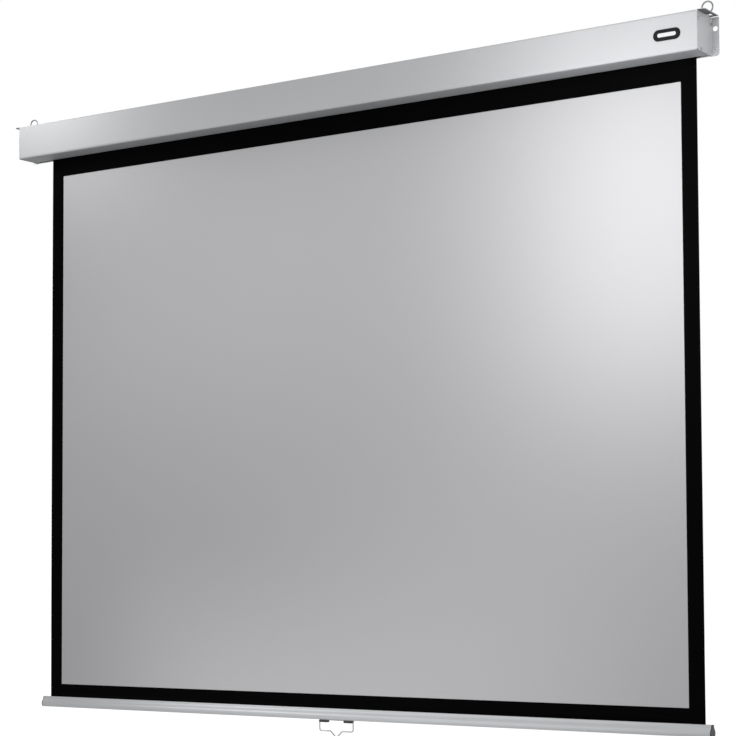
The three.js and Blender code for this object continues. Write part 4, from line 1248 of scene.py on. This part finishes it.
DRESSINGS = (
    # The brackets' downward faces get painted shade in dark grey.
    Dressing(Body.CASING, Slot.PAINT, SILVER_POWDER_COAT,
             ("end_bracket_left", "end_bracket_right"), 0.45, DARK_STEEL_AND_PAINTED_SHADE),
    Dressing(Body.CASING, Slot.ZINC, ZINC_PLATE, ("spear_socket", "bush_housing"), 0.3),
    Dressing(Body.CASING, Slot.ZINC, ZINC_PLATE, ("spring_shaft", "ratchet_wheel")),
    Dressing(Body.CASING, Slot.BRASS, SINTERED_BRASS, ("idler_bush",)),
    Dressing(Body.CASING, Slot.GREY_PLASTIC, GREY_ACETAL, ("spring_anchor",), 0.3),
    Dressing(Body.CASING, Slot.SPRING, OILED_SPRING_STEEL, ("anchor_pin", "shaft_clip")),
    Dressing(Body.ROLLER, Slot.ALUMINIUM, ANODISED_ALUMINIUM, ("roller_tube",)),
    Dressing(Body.ROLLER, Slot.BLACK_PLASTIC, BLACK_ABS, ("fabric_spline",)),
    Dressing(Body.ROLLER, Slot.GREY_PLASTIC, GREY_ACETAL,
             ("idler_plug", "spring_drive_plug", "lock_housing"), 0.3),
    Dressing(Body.ROLLER, Slot.ZINC, ZINC_PLATE, ("idler_pin", "lock_cover"), 0.2),
    Dressing(Body.ROLLER, Slot.BRASS, SINTERED_BRASS, ("lock_bush",)),
    Dressing(Body.ROLLER, Slot.SPRING, OILED_SPRING_STEEL, ("pawl_pin_upper", "pawl_pin_lower")),
    Dressing(Body.PAWL_UPPER, Slot.ZINC, ZINC_PLATE, ("lock_pawl_upper",), 0.15),
    Dressing(Body.PAWL_LOWER, Slot.ZINC, ZINC_PLATE, ("lock_pawl_lower",), 0.15),
    Dressing(Body.BAR, Slot.ZINC, ZINC_PLATE, ("hem_rod",)),
    Dressing(Body.BAR, Slot.BLACK_PLASTIC, BLACK_ABS, (
        "bar_end_cap_left", "bar_end_cap_right", "handle_clip_left", "handle_clip_right"), 0.5),
    Dressing(Body.BAR, Slot.PAINT, DARK_STEEL_AND_PAINTED_SHADE, ("handle_strap",), 0.15),
)


@dataclass
class SoftLight:
    """A rectangular studio lamp."""

    name: str
    place_m: Point3
    aim_m: Point3
    size_m: Point2
    watts: float
    spread_degrees: float = 180.0

    def build(self) -> None:
        """Adds the lamp, aimed at its target."""
        lamp = bpy.data.lights.new(self.name, "AREA")
        lamp.shape = "RECTANGLE"
        lamp.size, lamp.size_y = self.size_m
        lamp.energy = self.watts
        lamp.spread = math.radians(self.spread_degrees)
        made = linked(self.name, lamp)
        made.location = self.place_m
        made.rotation_mode = "QUATERNION"
        ahead = Vector(self.aim_m) - Vector(self.place_m)
        made.rotation_quaternion = ahead.to_track_quat("-Z", "Y")


def white_seen(tree: NodeTree) -> NodeSocket:
    """Tells the rays that see the surroundings as white from those that only light the object.

    Args:
        tree: the tree that gets the nodes.

    Returns:
        A socket that holds 1 for camera, glossy and transmission rays and 0 for the others.
    """
    ray = add_node(tree, "ShaderNodeLightPath").outputs
    seen = ray["Is Camera Ray"]
    for name in ("Is Glossy Ray", "Is Transmission Ray"):
        seen = add_node(tree, "ShaderNodeMath", {0: seen, 1: ray[name]}, operation="ADD",
                        use_clamp=True).outputs[0]
    return seen


@dataclass
class Studio:
    """The camera, the pale floor, the white surroundings and the lamps."""

    camera_m: Point3 = (3.04218, -4.35679, -1.26728)
    yaw: float = 0.59465
    pitch: float = 0.05435
    roll: float = -0.00459
    focal_px: float = 1988.45
    centre_y_px: float = 460.0
    sensor_mm: float = 36.0
    floor_z_m: float = -1.95
    floor_side_m: float = 24.0
    floor_colour: str = "#c8c8c8"
    floor_lift: float = 0.68
    ambient: float = 0.72
    lamps: tuple[SoftLight, ...] = (
        SoftLight("lamp_upper_right", (0.905, -0.55, -0.35), (0.905, 0.0, -0.35), (0.48, 0.91),
                  4.85),
        SoftLight("lamp_low", (0.3, -0.58, -1.87), (0.3, 0.0, -1.87), (0.91, 1.17), 2.4),
        SoftLight("lamp_upper_left", (-0.52, -0.65, -0.36), (-0.52, 0.0, -0.36), (1.2, 0.8), 1.9),
        SoftLight("lamp_far_left", (-1.25, -0.7, 0.32), (-0.98, 0.0, 0.15), (0.3, 0.3), 0.68, 60.0),
        SoftLight("lamp_bar", (-0.85, -0.9, -1.15), (-0.22, 0.0, -1.92), (0.6, 0.5), 0.5, 50.0),
        SoftLight("lamp_right_end", (2.4, -0.3, 0.1), (1.1, -0.04, 0.0), (0.4, 0.4), 0.5, 50.0),
    )

    def build_camera(self) -> None:
        """Adds the camera at the photograph's viewpoint."""
        data = bpy.data.cameras.new("photo_view")
        data.sensor_width = self.sensor_mm
        data.lens = self.focal_px / PHOTO_SIDE_PX * self.sensor_mm
        data.shift_y = (self.centre_y_px - PHOTO_SIDE_PX / 2) / PHOTO_SIDE_PX
        camera = linked("photo_view", data)
        # Unturned, a camera looks straight down.
        level = math.pi / 2
        camera.matrix_world = (
            Matrix.Translation(self.camera_m) @ Matrix.Rotation(self.yaw, 4, "Z")
            @ Matrix.Rotation(level + self.pitch, 4, "X") @ Matrix.Rotation(self.roll, 4, "Z"))
        bpy.context.scene.camera = camera

    def build_world(self) -> None:
        """Sets soft surroundings that the camera and reflections see as white."""
        world = bpy.data.worlds.new("white_surroundings")
        tree = fresh_tree(world)
        strength = add_node(tree, "ShaderNodeMapRange", {
            "Value": white_seen(tree), "To Min": self.ambient, "To Max": 1.0})
        sky = add_node(tree, "ShaderNodeBackground", {
            "Color": (1, 1, 1, 1), "Strength": strength})
        add_node(tree, "ShaderNodeOutputWorld", {"Surface": sky})
        bpy.context.scene.world = world

    def floor_material(self) -> Material:
        """A pale matt finish, lifted to white where the camera or a reflection sees it.

        Returns:
            The material.
        """
        made = bpy.data.materials.new("pale_floor")
        tree = fresh_tree(made)
        lift = add_node(tree, "ShaderNodeMath", {
            0: white_seen(tree), 1: self.floor_lift}, operation="MULTIPLY")
        glow = add_node(tree, "ShaderNodeEmission", {"Strength": lift})
        matt = add_node(tree, "ShaderNodeBsdfDiffuse", {"Color": linear(self.floor_colour)})
        both = add_node(tree, "ShaderNodeAddShader", {0: glow, 1: matt})
        add_node(tree, "ShaderNodeOutputMaterial", {"Surface": both})
        return made

    def build_floor(self) -> None:
        """Adds the floor below the hanging screen."""
        half = self.floor_side_m / 2
        mesh = bpy.data.meshes.new("floor")
        outline = [(-half, -half), (half, -half), (half, half), (-half, half)]
        mesh.from_pydata([(x, y, self.floor_z_m) for x, y in outline], [], [(0, 1, 2, 3)])
        mesh.materials.append(self.floor_material())
        linked("floor", mesh)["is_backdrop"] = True

    def build(self) -> None:
        """Builds the whole studio."""
        self.build_camera()
        self.build_world()
        self.build_floor()
        for lamp in self.lamps:
            lamp.build()
        bpy.context.scene.view_settings.view_transform = "Standard"


def corners(box: tuple[Vector, Vector]) -> list[list[float]]:
    """Turns a box into plain lists of numbers."""
    return [list(corner) for corner in box]


def main() -> None:
    """Builds the studio and every piece in order."""
    Studio().build()
    wires, screws = WireTree(), ScrewTree()
    for dressing in DRESSINGS:
        dressing.build()
    casing = Casing()
    casing.build_shell()
    casing.build_name_plate()
    casing.build_screws(screws)
    HangingRings().build(wires)
    Fabric().build()
    WeightBar().build()
    PullHandle().build(wires, screws)
    TorsionSpring().build(wires)
    {"cad": corners(cad_bounds), "visual": corners(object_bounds())}


if __name__ == "__main__":
    main()
